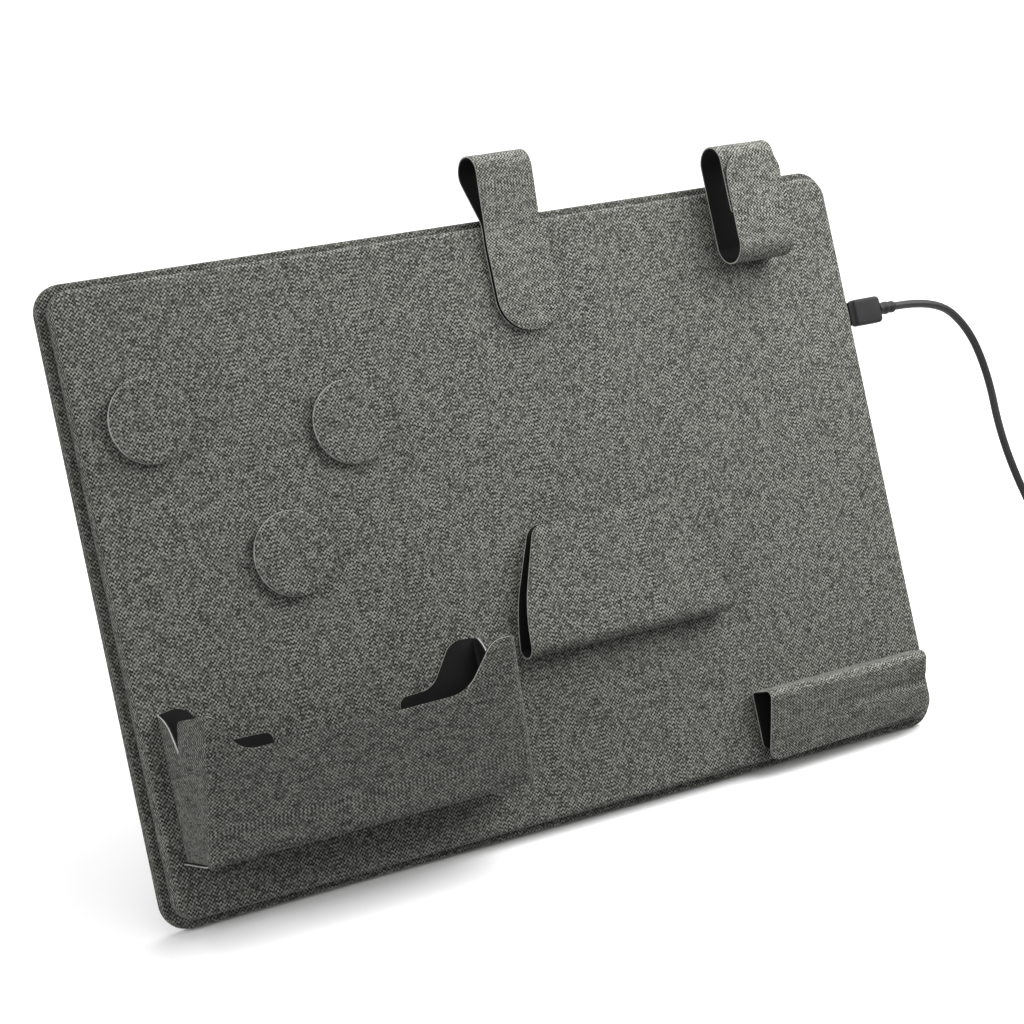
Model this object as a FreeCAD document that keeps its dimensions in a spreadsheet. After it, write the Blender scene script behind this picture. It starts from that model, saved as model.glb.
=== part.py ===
import FreeCAD, Part
import math
import os

import Sketcher

# Desk charging panel: a fabric-covered board that leans back on a hinged rear leg.
# A steel sheet behind the front cloth holds magnetic pockets, loops and discs, and
# a flat charger sits behind the place where a telephone stands on a folded ledge.
#
# Panel frame: x to the right from the middle, y up the board from its bottom edge,
# z out of the front from the back face of the rear board. Lengths in millimetres.

SIZES = (
    # Stance
    ("lean_angle", 23.0),
    ("leg_open_angle", 41.0),
    # Rear board: card core in a cloth wrap whose margin is turned in at the front
    ("board_width", 330.0),
    ("board_height", 220.0),
    ("board_corner", 10.0),
    ("board_thickness", 4.0),
    ("wrap_thickness", 0.6),
    ("wrap_edge", 1.2),
    ("turn_in", 15.0),
    ("core_gap", 0.3),
    # Dark sheet glued between the two boards
    ("backing_inset", 5.0),
    ("backing_thickness", 0.4),
    # Front board
    ("front_inset", 3.0),
    ("front_corner", 8.0),
    ("front_thickness", 5.1),
    ("front_roll", 1.8),
    ("front_back_edge", 0.9),
    ("foam_thickness", 0.8),
    ("steel_thickness", 0.5),
    # Charger behind the telephone
    ("charger_side", 51.0),
    ("charger_y", 112.0),
    ("coil_outer", 50.0),
    ("coil_bore", 18.0),
    ("coil_thickness", 1.0),
    ("ferrite_diameter", 54.0),
    ("ferrite_thickness", 0.6),
    ("charger_gap", 0.5),
    ("circuit_length", 40.0),
    ("circuit_width", 30.0),
    ("circuit_thickness", 1.0),
    ("lead_slot", 8.0),
    # Socket in the right edge
    ("socket_y", 162.0),
    ("socket_length", 7.4),
    ("socket_width", 9.0),
    ("socket_height", 3.2),
    ("socket_wall", 0.3),
    ("socket_setback", 0.8),
    # Magnets and the discs that hide them
    ("magnet_thickness", 1.0),
    ("magnet_gap", 0.2),
    ("disc_diameter", 30.0),
    ("disc_height", 3.0),
    ("disc_edge", 0.9),
    ("disc_magnet", 22.0),
    ("disc_magnet_thickness", 1.8),
    # Folded tray
    ("tray_side", 9.3),
    ("tray_width", 125.2),
    ("tray_bottom", 21.0),
    ("tray_height", 53.0),
    ("tray_floor_depth", 23.5),
    ("tray_mouth_depth", 36.5),
    ("tray_front_taper", 4.0),
    ("tray_front_drop", 3.0),
    ("tray_sheet", 1.6),
    ("tray_fold", 4.0),
    ("tray_fold_inside", 2.4),
    ("tray_low_edge", 35.5),
    ("tray_left_ear", 4.4),
    ("tray_right_ear", 14.0),
    ("tray_ear_slope", 10.0),
    ("tray_ear_round", 5.0),
    ("tray_tab", 36.0),
    ("tray_tab_height", 38.0),
    ("tray_tab_ear", 9.0),
    ("tray_tab_slope", 12.0),
    ("tray_tab_round", 3.0),
    ("tray_shoulder", 11.4),
    ("tray_notch_depth", 14.8),
    ("tray_magnet", 14.0),
    # Card pocket
    ("pocket_side", 16.7),
    ("pocket_bottom", 61.5),
    ("pocket_height", 46.0),
    ("pocket_width", 88.0),
    ("pocket_top_width", 61.0),
    ("pocket_shoulder", 13.0),
    ("pocket_gap", 6.4),
    ("pocket_sheet", 1.4),
    ("pocket_fold", 3.4),
    ("pocket_corner", 4.0),
    ("pocket_shoulder_round", 10.0),
    ("pocket_magnet", 14.0),
    # Telephone ledge
    ("ledge_side", 48.0),
    ("ledge_width", 74.0),
    ("ledge_bottom", 2.6),
    ("ledge_height", 27.0),
    ("ledge_depth", 13.2),
    ("ledge_sheet", 1.4),
    ("ledge_fold", 0.9),
    ("ledge_magnet", 14.0),
    # Pen loop
    ("pen_x", 19.3),
    ("pen_width", 26.0),
    ("pen_drop", 43.0),
    ("pen_waist_drop", 2.5),
    ("pen_rise", 16.6),
    ("pen_set_back", 4.8),
    ("pen_bore", 10.8),
    ("pen_sheet", 1.3),
    ("pen_tip_round", 12.6),
    ("pen_magnet", 16.0),
    # Cable keeper
    ("keeper_side", 46.0),
    ("keeper_width", 24.6),
    ("keeper_drop", 32.0),
    ("keeper_rise", 13.0),
    ("keeper_depth", 15.3),
    ("keeper_sheet", 1.4),
    ("keeper_lap_drop", 14.0),
    ("keeper_flap_rise", 9.0),
    ("keeper_flap_round", 9.5),
    ("keeper_heel", 1.0),
    ("keeper_seam", 0.3),
    ("keeper_magnet", 14.0),
    ("flap_magnet", 11.0),
    ("flap_magnet_drop", 12.0),
    ("flap_magnet_thickness", 0.7),
    # Rear leg
    ("leg_top_width", 96.0),
    ("leg_foot_width", 132.0),
    ("leg_thickness", 3.6),
    ("leg_corner", 8.0),
    ("leg_edge", 0.8),
    ("leg_rim", 5.0),
    ("leg_lining", 0.6),
    ("leg_notch_width", 50.0),
    ("leg_notch_depth", 8.0),
    ("heel_gap", 0.2),
    # Hinge of the leg
    ("hinge_y", 160.0),
    ("hinge_width", 46.0),
    ("hinge_leaf", 18.0),
    ("leaf_thickness", 0.8),
    ("knuckle_radius", 2.6),
    ("knuckle_lift", 0.1),
    ("knuckle_gap", 0.25),
    ("pin_radius", 1.25),
    ("pin_clearance", 0.05),
    ("pin_head_radius", 2.2),
    ("pin_head_length", 0.8),
    ("leaf_corner", 3.0),
    ("rivet_radius", 1.2),
    ("rivet_gap", 0.1),
    ("rivet_head_radius", 2.4),
    ("rivet_head_height", 0.9),
    ("rivet_foot_height", 0.4),
    ("rivet_inset", 5.0),
    ("rivet_spread", 15.0),
    # Plug in the socket
    ("plug_shell_width", 8.2),
    ("plug_shell_height", 2.4),
    ("plug_shell_length", 6.4),
    ("plug_gap", 0.5),
    ("plug_length", 17.0),
    ("plug_width", 10.4),
    ("plug_height", 5.0),
    ("plug_edge", 1.2),
    ("plug_corner", 1.8),
    ("relief_length", 6.0),
    ("relief_radius", 2.3),
    ("relief_tip_radius", 1.9),
    # Lead, straight where it leaves the plug and where it reaches its coil
    ("cord_diameter", 3.2),
    ("lead_exit_run", 20.5),
    ("lead_approach_run", 16.0),
    # Coil of the spare lead and the tie round it, on the desk beside the panel
    ("coil_side", 139.0),
    ("coil_front", -34.0),
    ("coil_radius", 17.6),
    ("coil_pitch", 3.75),
    ("coil_layer", 3.75),
    ("tail_exit_run", 11.0),
    ("tie_thickness", 0.8),
    ("tie_width", 6.0),
    ("tie_gap", 0.35),
    ("tie_round", 1.5),
    # Far plug
    ("far_relief_length", 7.0),
    ("far_plug_length", 24.0),
    ("far_plug_width", 15.6),
    ("far_plug_height", 8.0),
    ("far_plug_edge", 2.2),
    ("far_shell_length", 14.5),
    ("far_shell_width", 12.0),
    ("far_shell_height", 4.5),
    ("far_shell_wall", 0.35),
    ("far_window", 2.3),
    ("far_window_spread", 2.6),
    ("far_window_setback", 6.0),
    ("far_tongue_thickness", 1.8),
    ("far_tongue_gap", 0.15),
    # Length that cuts run past the faces they open
    ("overrun", 2.0),
)

# Places of the three discs on the panel: in from its left edge and down from its top edge.
DISC_PLACES = {
    "upper_left": ("disc_left_side", "disc_left_drop"),
    "upper_right": ("disc_right_side", "disc_right_drop"),
    "lower": ("disc_lower_side", "disc_lower_drop"),
}
DISC_SIZES = (
    ("disc_left_side", 28.8),
    ("disc_left_drop", 50.8),
    ("disc_right_side", 103.1),
    ("disc_right_drop", 63.6),
    ("disc_lower_side", 70.7),
    ("disc_lower_drop", 104.4),
)

# Where the notch in each end of the tray turns and ends, as shares of the mouth.
NOTCH_SHARES = (0.375, 0.56)
# Middles of the pairs of magnets, as shares of the half width of the piece that holds them.
MAGNET_SHARES = (-0.6, 0.6)
# Widths of the three knuckles of the hinge, as shares of its width.
KNUCKLE_SHARES = (0.3, 0.4, 0.3)

# Bends of the lead in the frame of the standing part, measured across from the board's
# right edge: from the straight run out of the plug down to the desk.
LEAD_ROUTE = (
    (57.0, 8.5, 138.5),
    (64.5, 3.0, 118.5),
    (63.5, -7.0, 97.0),
    (67.5, -17.5, 75.0),
    (76.5, -26.5, 53.0),
    (88.0, -31.5, 32.5),
    (102.5, -33.5, 15.0),
)
# Bends of the tail between the coil and the far plug, which lies flat beside the coil.
TAIL_ROUTE = (
    (164.0, -30.4, 4.8),
    (171.6, -22.4, 4.0),
    (174.4, -12.0, 4.0),
)
# Half turns that the coil spirals in before it climbs, and out again after.
COIL_HALF_TURNS = 5
# Each bend of a lead takes up this share of the shorter run beside it.
BEND_SHARE = 0.45
# How far a tube's volume may differ from its section times its length, as a share.
VOLUME_SHARE = 0.01
# An edge runs along an axis where this share of its length does.
STRAIGHT_SHARE = 0.999

doc = FreeCAD.newDocument("ChargingPanel")
sheet = doc.addObject("Spreadsheet::Sheet", "Sizes")
for row, (alias, number) in enumerate(SIZES + DISC_SIZES, start=1):
    sheet.set(f"A{row}", alias)
    sheet.set(f"B{row}", str(number))
    sheet.setAlias(f"B{row}", alias)
doc.recompute()


class Size:
    """A number of the sheet, or one worked out from such numbers, with its formula."""

    def __init__(self, value, formula):
        self.value = value
        self.formula = formula

    def __add__(self, other):
        other = as_size(other)
        return Size(self.value + other.value, f"({self.formula} + {other.formula})")

    def __sub__(self, other):
        other = as_size(other)
        return Size(self.value - other.value, f"({self.formula} - {other.formula})")

    def __mul__(self, other):
        other = as_size(other)
        return Size(self.value * other.value, f"({self.formula} * {other.formula})")

    __rmul__ = __mul__

    def __truediv__(self, other):
        other = as_size(other)
        return Size(self.value / other.value, f"({self.formula} / {other.formula})")

    def __neg__(self):
        return Size(-self.value, f"(-1 * {self.formula})")


class Cells:
    """Gives each number of the sheet as a Size, by its alias."""

    def __getattr__(self, alias):
        return Size(float(sheet.get(alias)), f"Sizes.{alias}")


def as_size(number):
    """The number itself where it is a Size, otherwise a Size that holds it."""
    return number if isinstance(number, Size) else Size(float(number), repr(float(number)))


def square_root(number):
    return Size(math.sqrt(number.value), f"sqrt({number.formula})")


def cosine(angle):
    return Size(math.cos(math.radians(angle.value)), f"cos({angle.formula} * 1 deg)")


def sine(angle):
    return Size(math.sin(math.radians(angle.value)), f"sin({angle.formula} * 1 deg)")


size = Cells()
NIL = as_size(0)
X_AXIS = FreeCAD.Vector(1, 0, 0)
Z_AXIS = FreeCAD.Vector(0, 0, 1)

# Every finished piece by its node name, with the placement group that it belongs to.
pieces = {}


def new_body(label, group):
    """Starts an empty body and enters it among the pieces."""
    body = doc.addObject("PartDesign::Body", label)
    body.Label = label
    pieces[label] = (body, group)
    return body


def new_sketch(body, name, role, level):
    """Empty sketch parallel to one of the body's own planes, at a level along its axis."""
    plane = next(item for item in body.Origin.OriginFeatures if item.Role == role)
    sketch = body.newObject("Sketcher::SketchObject", name)
    sketch.AttachmentSupport = [(plane, "")]
    sketch.MapMode = "FlatFace"
    along = -level if role == "XZ_Plane" else level
    sketch.setExpression(".AttachmentOffset.Base.z", along.formula)
    return sketch


def tie(sketch, kind, side, end, length):
    """Holds one point of a sketch at a signed distance from the sketch's origin."""
    number = sketch.addConstraint(Sketcher.Constraint(kind, -1, 1, side, end, length.value))
    sketch.setExpression(f"Constraints[{number}]", length.formula)


def flat(place):
    """A pair of sizes as a point of the sketch's plane."""
    return FreeCAD.Vector(place[0].value, place[1].value, 0)


def outline(body, name, role, corners, level=NIL, arcs=None):
    """Closed outline through the corners, with an arc about a centre on some sides.

    arcs maps a side's number to (centre, turn): turn is 1 where the arc runs
    counter-clockwise from its corner to the next, and -1 where it runs clockwise.
    """
    arcs = arcs or {}
    sketch = new_sketch(body, name, role, level)
    ends = []
    for side, corner in enumerate(corners):
        start = flat(corner)
        stop = flat(corners[(side + 1) % len(corners)])
        if side not in arcs:
            sketch.addGeometry(Part.LineSegment(start, stop), False)
            ends.append((1, 2))
            continue
        centre, turn = arcs[side]
        first, last = (start, stop) if turn > 0 else (stop, start)
        spoke_first = first - flat(centre)
        spoke_last = last - flat(centre)
        circle = Part.Circle(flat(centre), Z_AXIS, spoke_first.Length)
        angle_first = math.atan2(spoke_first.y, spoke_first.x)
        angle_last = math.atan2(spoke_last.y, spoke_last.x)
        sketch.addGeometry(Part.ArcOfCircle(circle, angle_first, angle_last), False)
        ends.append((1, 2) if turn > 0 else (2, 1))
    for side, pair in enumerate(ends):
        following = (side + 1) % len(ends)
        meeting = Sketcher.Constraint("Coincident", side, pair[1], following, ends[following][0])
        sketch.addConstraint(meeting)
    for side, corner in enumerate(corners):
        tie(sketch, "DistanceX", side, ends[side][0], corner[0])
        tie(sketch, "DistanceY", side, ends[side][0], corner[1])
    for side, (centre, turn) in arcs.items():
        chord = flat(corners[(side + 1) % len(corners)]) - flat(corners[side])
        if abs(chord.y) > abs(chord.x):
            tie(sketch, "DistanceX", side, 3, centre[0])
        else:
            tie(sketch, "DistanceY", side, 3, centre[1])
    return sketch


def circles(body, name, role, centres, radius, level=NIL):
    """Sketch of equal circles about the given centres."""
    sketch = new_sketch(body, name, role, level)
    for side, centre in enumerate(centres):
        sketch.addGeometry(Part.Circle(flat(centre), Z_AXIS, radius.value), False)
        tie(sketch, "DistanceX", side, 3, centre[0])
        tie(sketch, "DistanceY", side, 3, centre[1])
        number = sketch.addConstraint(Sketcher.Constraint("Radius", side, radius.value))
        sketch.setExpression(f"Constraints[{number}]", radius.formula)
    return sketch


def rectangle(left, bottom, right, top):
    """Corners of an upright rectangle."""
    return [(left, bottom), (right, bottom), (right, top), (left, top)]


def stadium(centre, half_width, half_height):
    """Corners and arcs of a flat outline with half-round ends."""
    left = centre[0] - half_width + half_height
    right = centre[0] + half_width - half_height
    low = centre[1] - half_height
    high = centre[1] + half_height
    arcs = {1: ((right, centre[1]), 1), 3: ((left, centre[1]), 1)}
    return rectangle(left, low, right, high), arcs


def pad(body, sketch, length, symmetric=False, backwards=False):
    """Raises a sketch to a solid along its normal."""
    feature = body.newObject("PartDesign::Pad", f"{sketch.Name}_pad")
    feature.Profile = sketch
    feature.SideType = "Symmetric" if symmetric else "One side"
    feature.Reversed = backwards
    feature.setExpression("Length", length.formula)
    doc.recompute()
    return feature


def cut(body, sketch, depth, symmetric=False, forwards=False):
    """Cuts a sketch out of the body, against its normal unless forwards is set."""
    before = body.Shape.Volume
    feature = body.newObject("PartDesign::Pocket", f"{sketch.Name}_cut")
    feature.Profile = sketch
    feature.SideType = "Symmetric" if symmetric else "One side"
    feature.Reversed = forwards
    feature.setExpression("Length", depth.formula)
    doc.recompute()
    if body.Shape.Volume >= before:
        raise ValueError(f"{feature.Name} removes nothing from {body.Label}")
    return feature


def soften(body, names, radius):
    """Rounds the named edges of the body's last feature."""
    if not names:
        raise ValueError(f"no edge to round on {body.Label}")
    base = body.Tip
    feature = body.newObject("PartDesign::Fillet", f"{body.Name}_round")
    feature.Base = (base, names)
    feature.setExpression("Radius", radius.formula)
    doc.recompute()
    if feature.Shape.isNull():
        raise ValueError(f"{feature.Name} fails on {body.Label}")
    return feature


def edges_along(body, axis, places):
    """Names of the straight edges along an axis whose other two coordinates match a place."""
    others = [number for number in range(3) if number != axis]
    names = []
    for number, edge in enumerate(body.Shape.Edges, start=1):
        ends = [vertex.Point for vertex in edge.Vertexes]
        if edge.Curve.TypeId != "Part::GeomLine" or len(ends) < 2:
            continue
        span = ends[1] - ends[0]
        if abs(span[axis]) < STRAIGHT_SHARE * span.Length:
            continue
        for place in places:
            offsets = [abs(ends[0][other] - place[slot].value) for slot, other in enumerate(others)]
            if max(offsets) < edge_match:
                names.append(f"Edge{number}")
                break
    return names


def edges_level(body, axis, level):
    """Names of the edges that lie wholly at one level along an axis."""
    names = []
    for number, edge in enumerate(body.Shape.Edges, start=1):
        box = edge.BoundBox
        low = (box.XMin, box.YMin, box.ZMin)[axis]
        high = (box.XMax, box.YMax, box.ZMax)[axis]
        if abs(low - level.value) < edge_match and abs(high - level.value) < edge_match:
            names.append(f"Edge{number}")
    return names


# How near an edge has to be to the place that names it: a small share of the thinnest cloth.
edge_match_share = 0.02
edge_match = edge_match_share * size.wrap_thickness.value

# Levels through the thickness of the panel, from the back face of the rear board outwards.
rear_lip = size.board_thickness - size.wrap_thickness
backing_level = size.board_thickness
front_level = backing_level + size.backing_thickness
front_lip = front_level + size.wrap_thickness
face_level = front_level + size.front_thickness
foam_level = face_level - size.wrap_thickness - size.foam_thickness
steel_level = foam_level - size.steel_thickness

half_board = size.board_width / 2
half_front = half_board - size.front_inset
front_bottom = size.front_inset
front_top = size.board_height - size.front_inset

# Places across the board, from its left and right edges.
charger_x = half_board - size.charger_side
tray_left = size.tray_side - half_board
pocket_x = tray_left + size.tray_width + size.pocket_side + size.pocket_width / 2
ledge_x = half_board - size.ledge_side
keeper_x = half_board - size.keeper_side
coil_x = half_board + size.coil_side
# Heights of the pieces that stand at the board's top edge.
pen_tip = size.board_height - size.pen_drop
pen_waist = size.board_height - size.pen_waist_drop
pen_centre = size.board_height + size.pen_rise
keeper_bottom = size.board_height - size.keeper_drop
keeper_top = size.board_height + size.keeper_rise
keeper_lap_end = size.board_height - size.keeper_lap_drop
keeper_flap_top = size.board_height + size.keeper_flap_rise


def rounded_inset(inset, corner):
    """Corners and arcs of a rounded outline that follows the board at an inset."""
    right = half_board - inset
    low = inset
    high = size.board_height - inset
    corners = [
        (-right + corner, low),
        (right - corner, low),
        (right, low + corner),
        (right, high - corner),
        (right - corner, high),
        (-right + corner, high),
        (-right, high - corner),
        (-right, low + corner),
    ]
    arcs = {
        1: ((right - corner, low + corner), 1),
        3: ((right - corner, high - corner), 1),
        5: ((-right + corner, high - corner), 1),
        7: ((-right + corner, low + corner), 1),
    }
    return corners, arcs


def inset_plate(label, inset, corner, level, thickness):
    """Rounded plate that follows the board's outline at an inset."""
    body = new_body(label, "panel")
    corners, arcs = rounded_inset(inset, corner)
    pad(body, outline(body, f"{label}_outline", "XY_Plane", corners, level, arcs), thickness)
    return body


def hollow(body, name, inset, corner, level, depth, forwards=False):
    """Cuts a rounded recess that follows the board's outline at an inset."""
    corners, arcs = rounded_inset(inset, corner)
    cut(body, outline(body, name, "XY_Plane", corners, level, arcs), depth, forwards=forwards)


def make_rear_board():
    """Cloth wrap with its turned-in margin, and the card core inside it."""
    wrap = inset_plate("rear_wrap", NIL, size.board_corner, NIL, size.board_thickness)
    rims = edges_level(wrap, 2, NIL) + edges_level(wrap, 2, size.board_thickness)
    soften(wrap, rims, size.wrap_edge)
    skin = size.wrap_thickness
    window = size.turn_in
    hollow(wrap, "rear_window", window, size.board_corner, size.board_thickness, skin)
    hollow(wrap, "rear_cavity", skin, size.board_corner - skin, rear_lip, rear_lip - skin)
    core = inset_plate(
        "rear_core",
        skin + size.core_gap,
        size.board_corner - skin - size.core_gap,
        skin,
        rear_lip - skin,
    )
    inset_plate(
        "backing_sheet",
        size.backing_inset,
        size.board_corner - size.backing_inset,
        backing_level,
        size.backing_thickness,
    )
    return wrap, core


def make_front_board():
    """Rolled front cloth over foam, steel and card, with the places of the charger cut out."""
    inset = size.front_inset
    skin = size.wrap_thickness
    wrap = inset_plate("front_wrap", inset, size.front_corner, front_level, size.front_thickness)
    soften(wrap, edges_level(wrap, 2, face_level), size.front_roll)
    soften(wrap, edges_level(wrap, 2, front_level), size.front_back_edge)
    window = inset + size.turn_in
    inner = inset + skin
    hollow(wrap, "front_window", window, size.front_corner, front_level, skin, forwards=True)
    depth = face_level - skin - front_lip
    hollow(wrap, "front_cavity", inner, size.front_corner - skin, front_lip, depth, forwards=True)

    filling = inner + size.core_gap
    corner = size.front_corner - skin - size.core_gap
    core = inset_plate("front_core", filling, corner, front_lip, steel_level - front_lip)
    steel = inset_plate("steel_sheet", filling, corner, steel_level, size.steel_thickness)
    foam = inset_plate("foam_pad", filling, corner, foam_level, size.foam_thickness)
    return wrap, core, steel, foam


def socket_box(margin):
    """Sides of the socket's room in the panel, seen from the front."""
    half = size.socket_width / 2 + margin
    right = half_front - size.socket_setback
    left = right - size.socket_length - margin
    return left, size.socket_y - half, right, size.socket_y + half


def make_charger(wrap, core, steel, foam):
    """Ring winding on its ferrite, the circuit board and the socket, let into the front board."""
    centre = (charger_x, size.charger_y)
    gap = size.charger_gap
    ferrite_level = steel_level - size.ferrite_thickness - size.coil_thickness + size.steel_thickness
    well = size.ferrite_diameter / 2 + gap

    seat = circles(core, "ferrite_seat", "XY_Plane", [centre], well, steel_level)
    cut(core, seat, steel_level - ferrite_level)
    hole = circles(steel, "winding_hole", "XY_Plane", [centre], well, steel_level)
    cut(steel, hole, size.steel_thickness, forwards=True)

    ferrite = new_body("ferrite_disc", "panel")
    rim = circles(ferrite, "ferrite_rim", "XY_Plane", [centre], size.ferrite_diameter / 2, ferrite_level)
    pad(ferrite, rim, size.ferrite_thickness)
    winding_level = ferrite_level + size.ferrite_thickness
    winding = new_body("charging_coil", "panel")
    rim = circles(winding, "winding_rim", "XY_Plane", [centre], size.coil_outer / 2, winding_level)
    pad(winding, rim, size.coil_thickness)
    bore = circles(winding, "winding_bore", "XY_Plane", [centre], size.coil_bore / 2, winding_level)
    cut(winding, bore, size.coil_thickness, forwards=True)

    right = half_front - size.wrap_thickness - size.core_gap
    left = right - size.circuit_length
    half = size.circuit_width / 2
    low = size.socket_y - half
    high = size.socket_y + half
    room = rectangle(left - gap, low - gap, right + size.overrun, high + gap)
    window = outline(core, "circuit_room", "XY_Plane", room, front_lip)
    cut(core, window, steel_level - front_lip, forwards=True)
    trench = rectangle(
        charger_x,
        size.charger_y,
        charger_x + size.lead_slot,
        low,
    )
    slot = outline(core, "lead_trench", "XY_Plane", trench, steel_level)
    cut(core, slot, steel_level - ferrite_level)

    circuit = new_body("circuit_board", "panel")
    plate = outline(circuit, "circuit_outline", "XY_Plane", rectangle(left, low, right, high), front_lip)
    pad(circuit, plate, size.circuit_thickness)
    notch = rectangle(*socket_box(NIL))
    notch[1] = (right + size.overrun, notch[1][1])
    notch[2] = (right + size.overrun, notch[2][1])
    notch_sketch = outline(circuit, "socket_notch", "XY_Plane", notch, front_lip)
    cut(circuit, notch_sketch, size.circuit_thickness, forwards=True)

    socket_right = socket_box(NIL)[2]
    centre = (size.socket_y, front_level + size.front_thickness / 2)
    wall = size.socket_wall
    half_width = size.socket_width / 2
    half_height = size.socket_height / 2
    socket = new_body("charge_socket", "panel")
    corners, arcs = stadium(centre, half_width, half_height)
    rim = outline(socket, "socket_outline", "YZ_Plane", corners, socket_right, arcs)
    pad(socket, rim, size.socket_length, backwards=True)
    port = outline(wrap, "socket_port", "YZ_Plane", corners, half_front, arcs)
    cut(wrap, port, size.wrap_thickness + size.overrun)
    corners, arcs = stadium(centre, half_width - wall, half_height - wall)
    mouth = outline(socket, "socket_mouth", "YZ_Plane", corners, socket_right, arcs)
    cut(socket, mouth, size.socket_length - wall)

    clear = rectangle(*socket_box(size.core_gap))
    clear[1] = (half_front, clear[1][1])
    clear[2] = (half_front, clear[2][1])
    steel_notch = outline(steel, "steel_notch", "XY_Plane", clear, steel_level)
    cut(steel, steel_notch, size.steel_thickness, forwards=True)
    foam_notch = outline(foam, "foam_notch", "XY_Plane", clear, foam_level)
    cut(foam, foam_notch, size.foam_thickness, forwards=True)


def recess_magnets(body, label, centres, diameter, thickness, level, group):
    """Sinks round magnets into the back of a piece, flush with the face that meets the panel."""
    gap = size.magnet_gap
    seats = circles(body, f"{label}_seats", "XY_Plane", centres, diameter / 2 + gap, level)
    cut(body, seats, thickness, forwards=True)
    magnets = new_body(label, group)
    magnets.AllowCompound = True
    rims = circles(magnets, f"{label}_rims", "XY_Plane", centres, diameter / 2, level)
    pad(magnets, rims, thickness)


def make_disc(name, centre):
    """Cloth-covered disc with a magnet let into its back."""
    cover = new_body(f"disc_{name}", f"disc_{name}")
    rim = circles(cover, f"disc_{name}_rim", "XY_Plane", [centre], size.disc_diameter / 2, face_level)
    pad(cover, rim, size.disc_height)
    soften(cover, edges_level(cover, 2, face_level + size.disc_height), size.disc_edge)
    recess_magnets(
        cover,
        f"disc_{name}_magnet",
        [centre],
        size.disc_magnet,
        size.disc_magnet_thickness,
        face_level,
        f"disc_{name}",
    )


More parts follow.
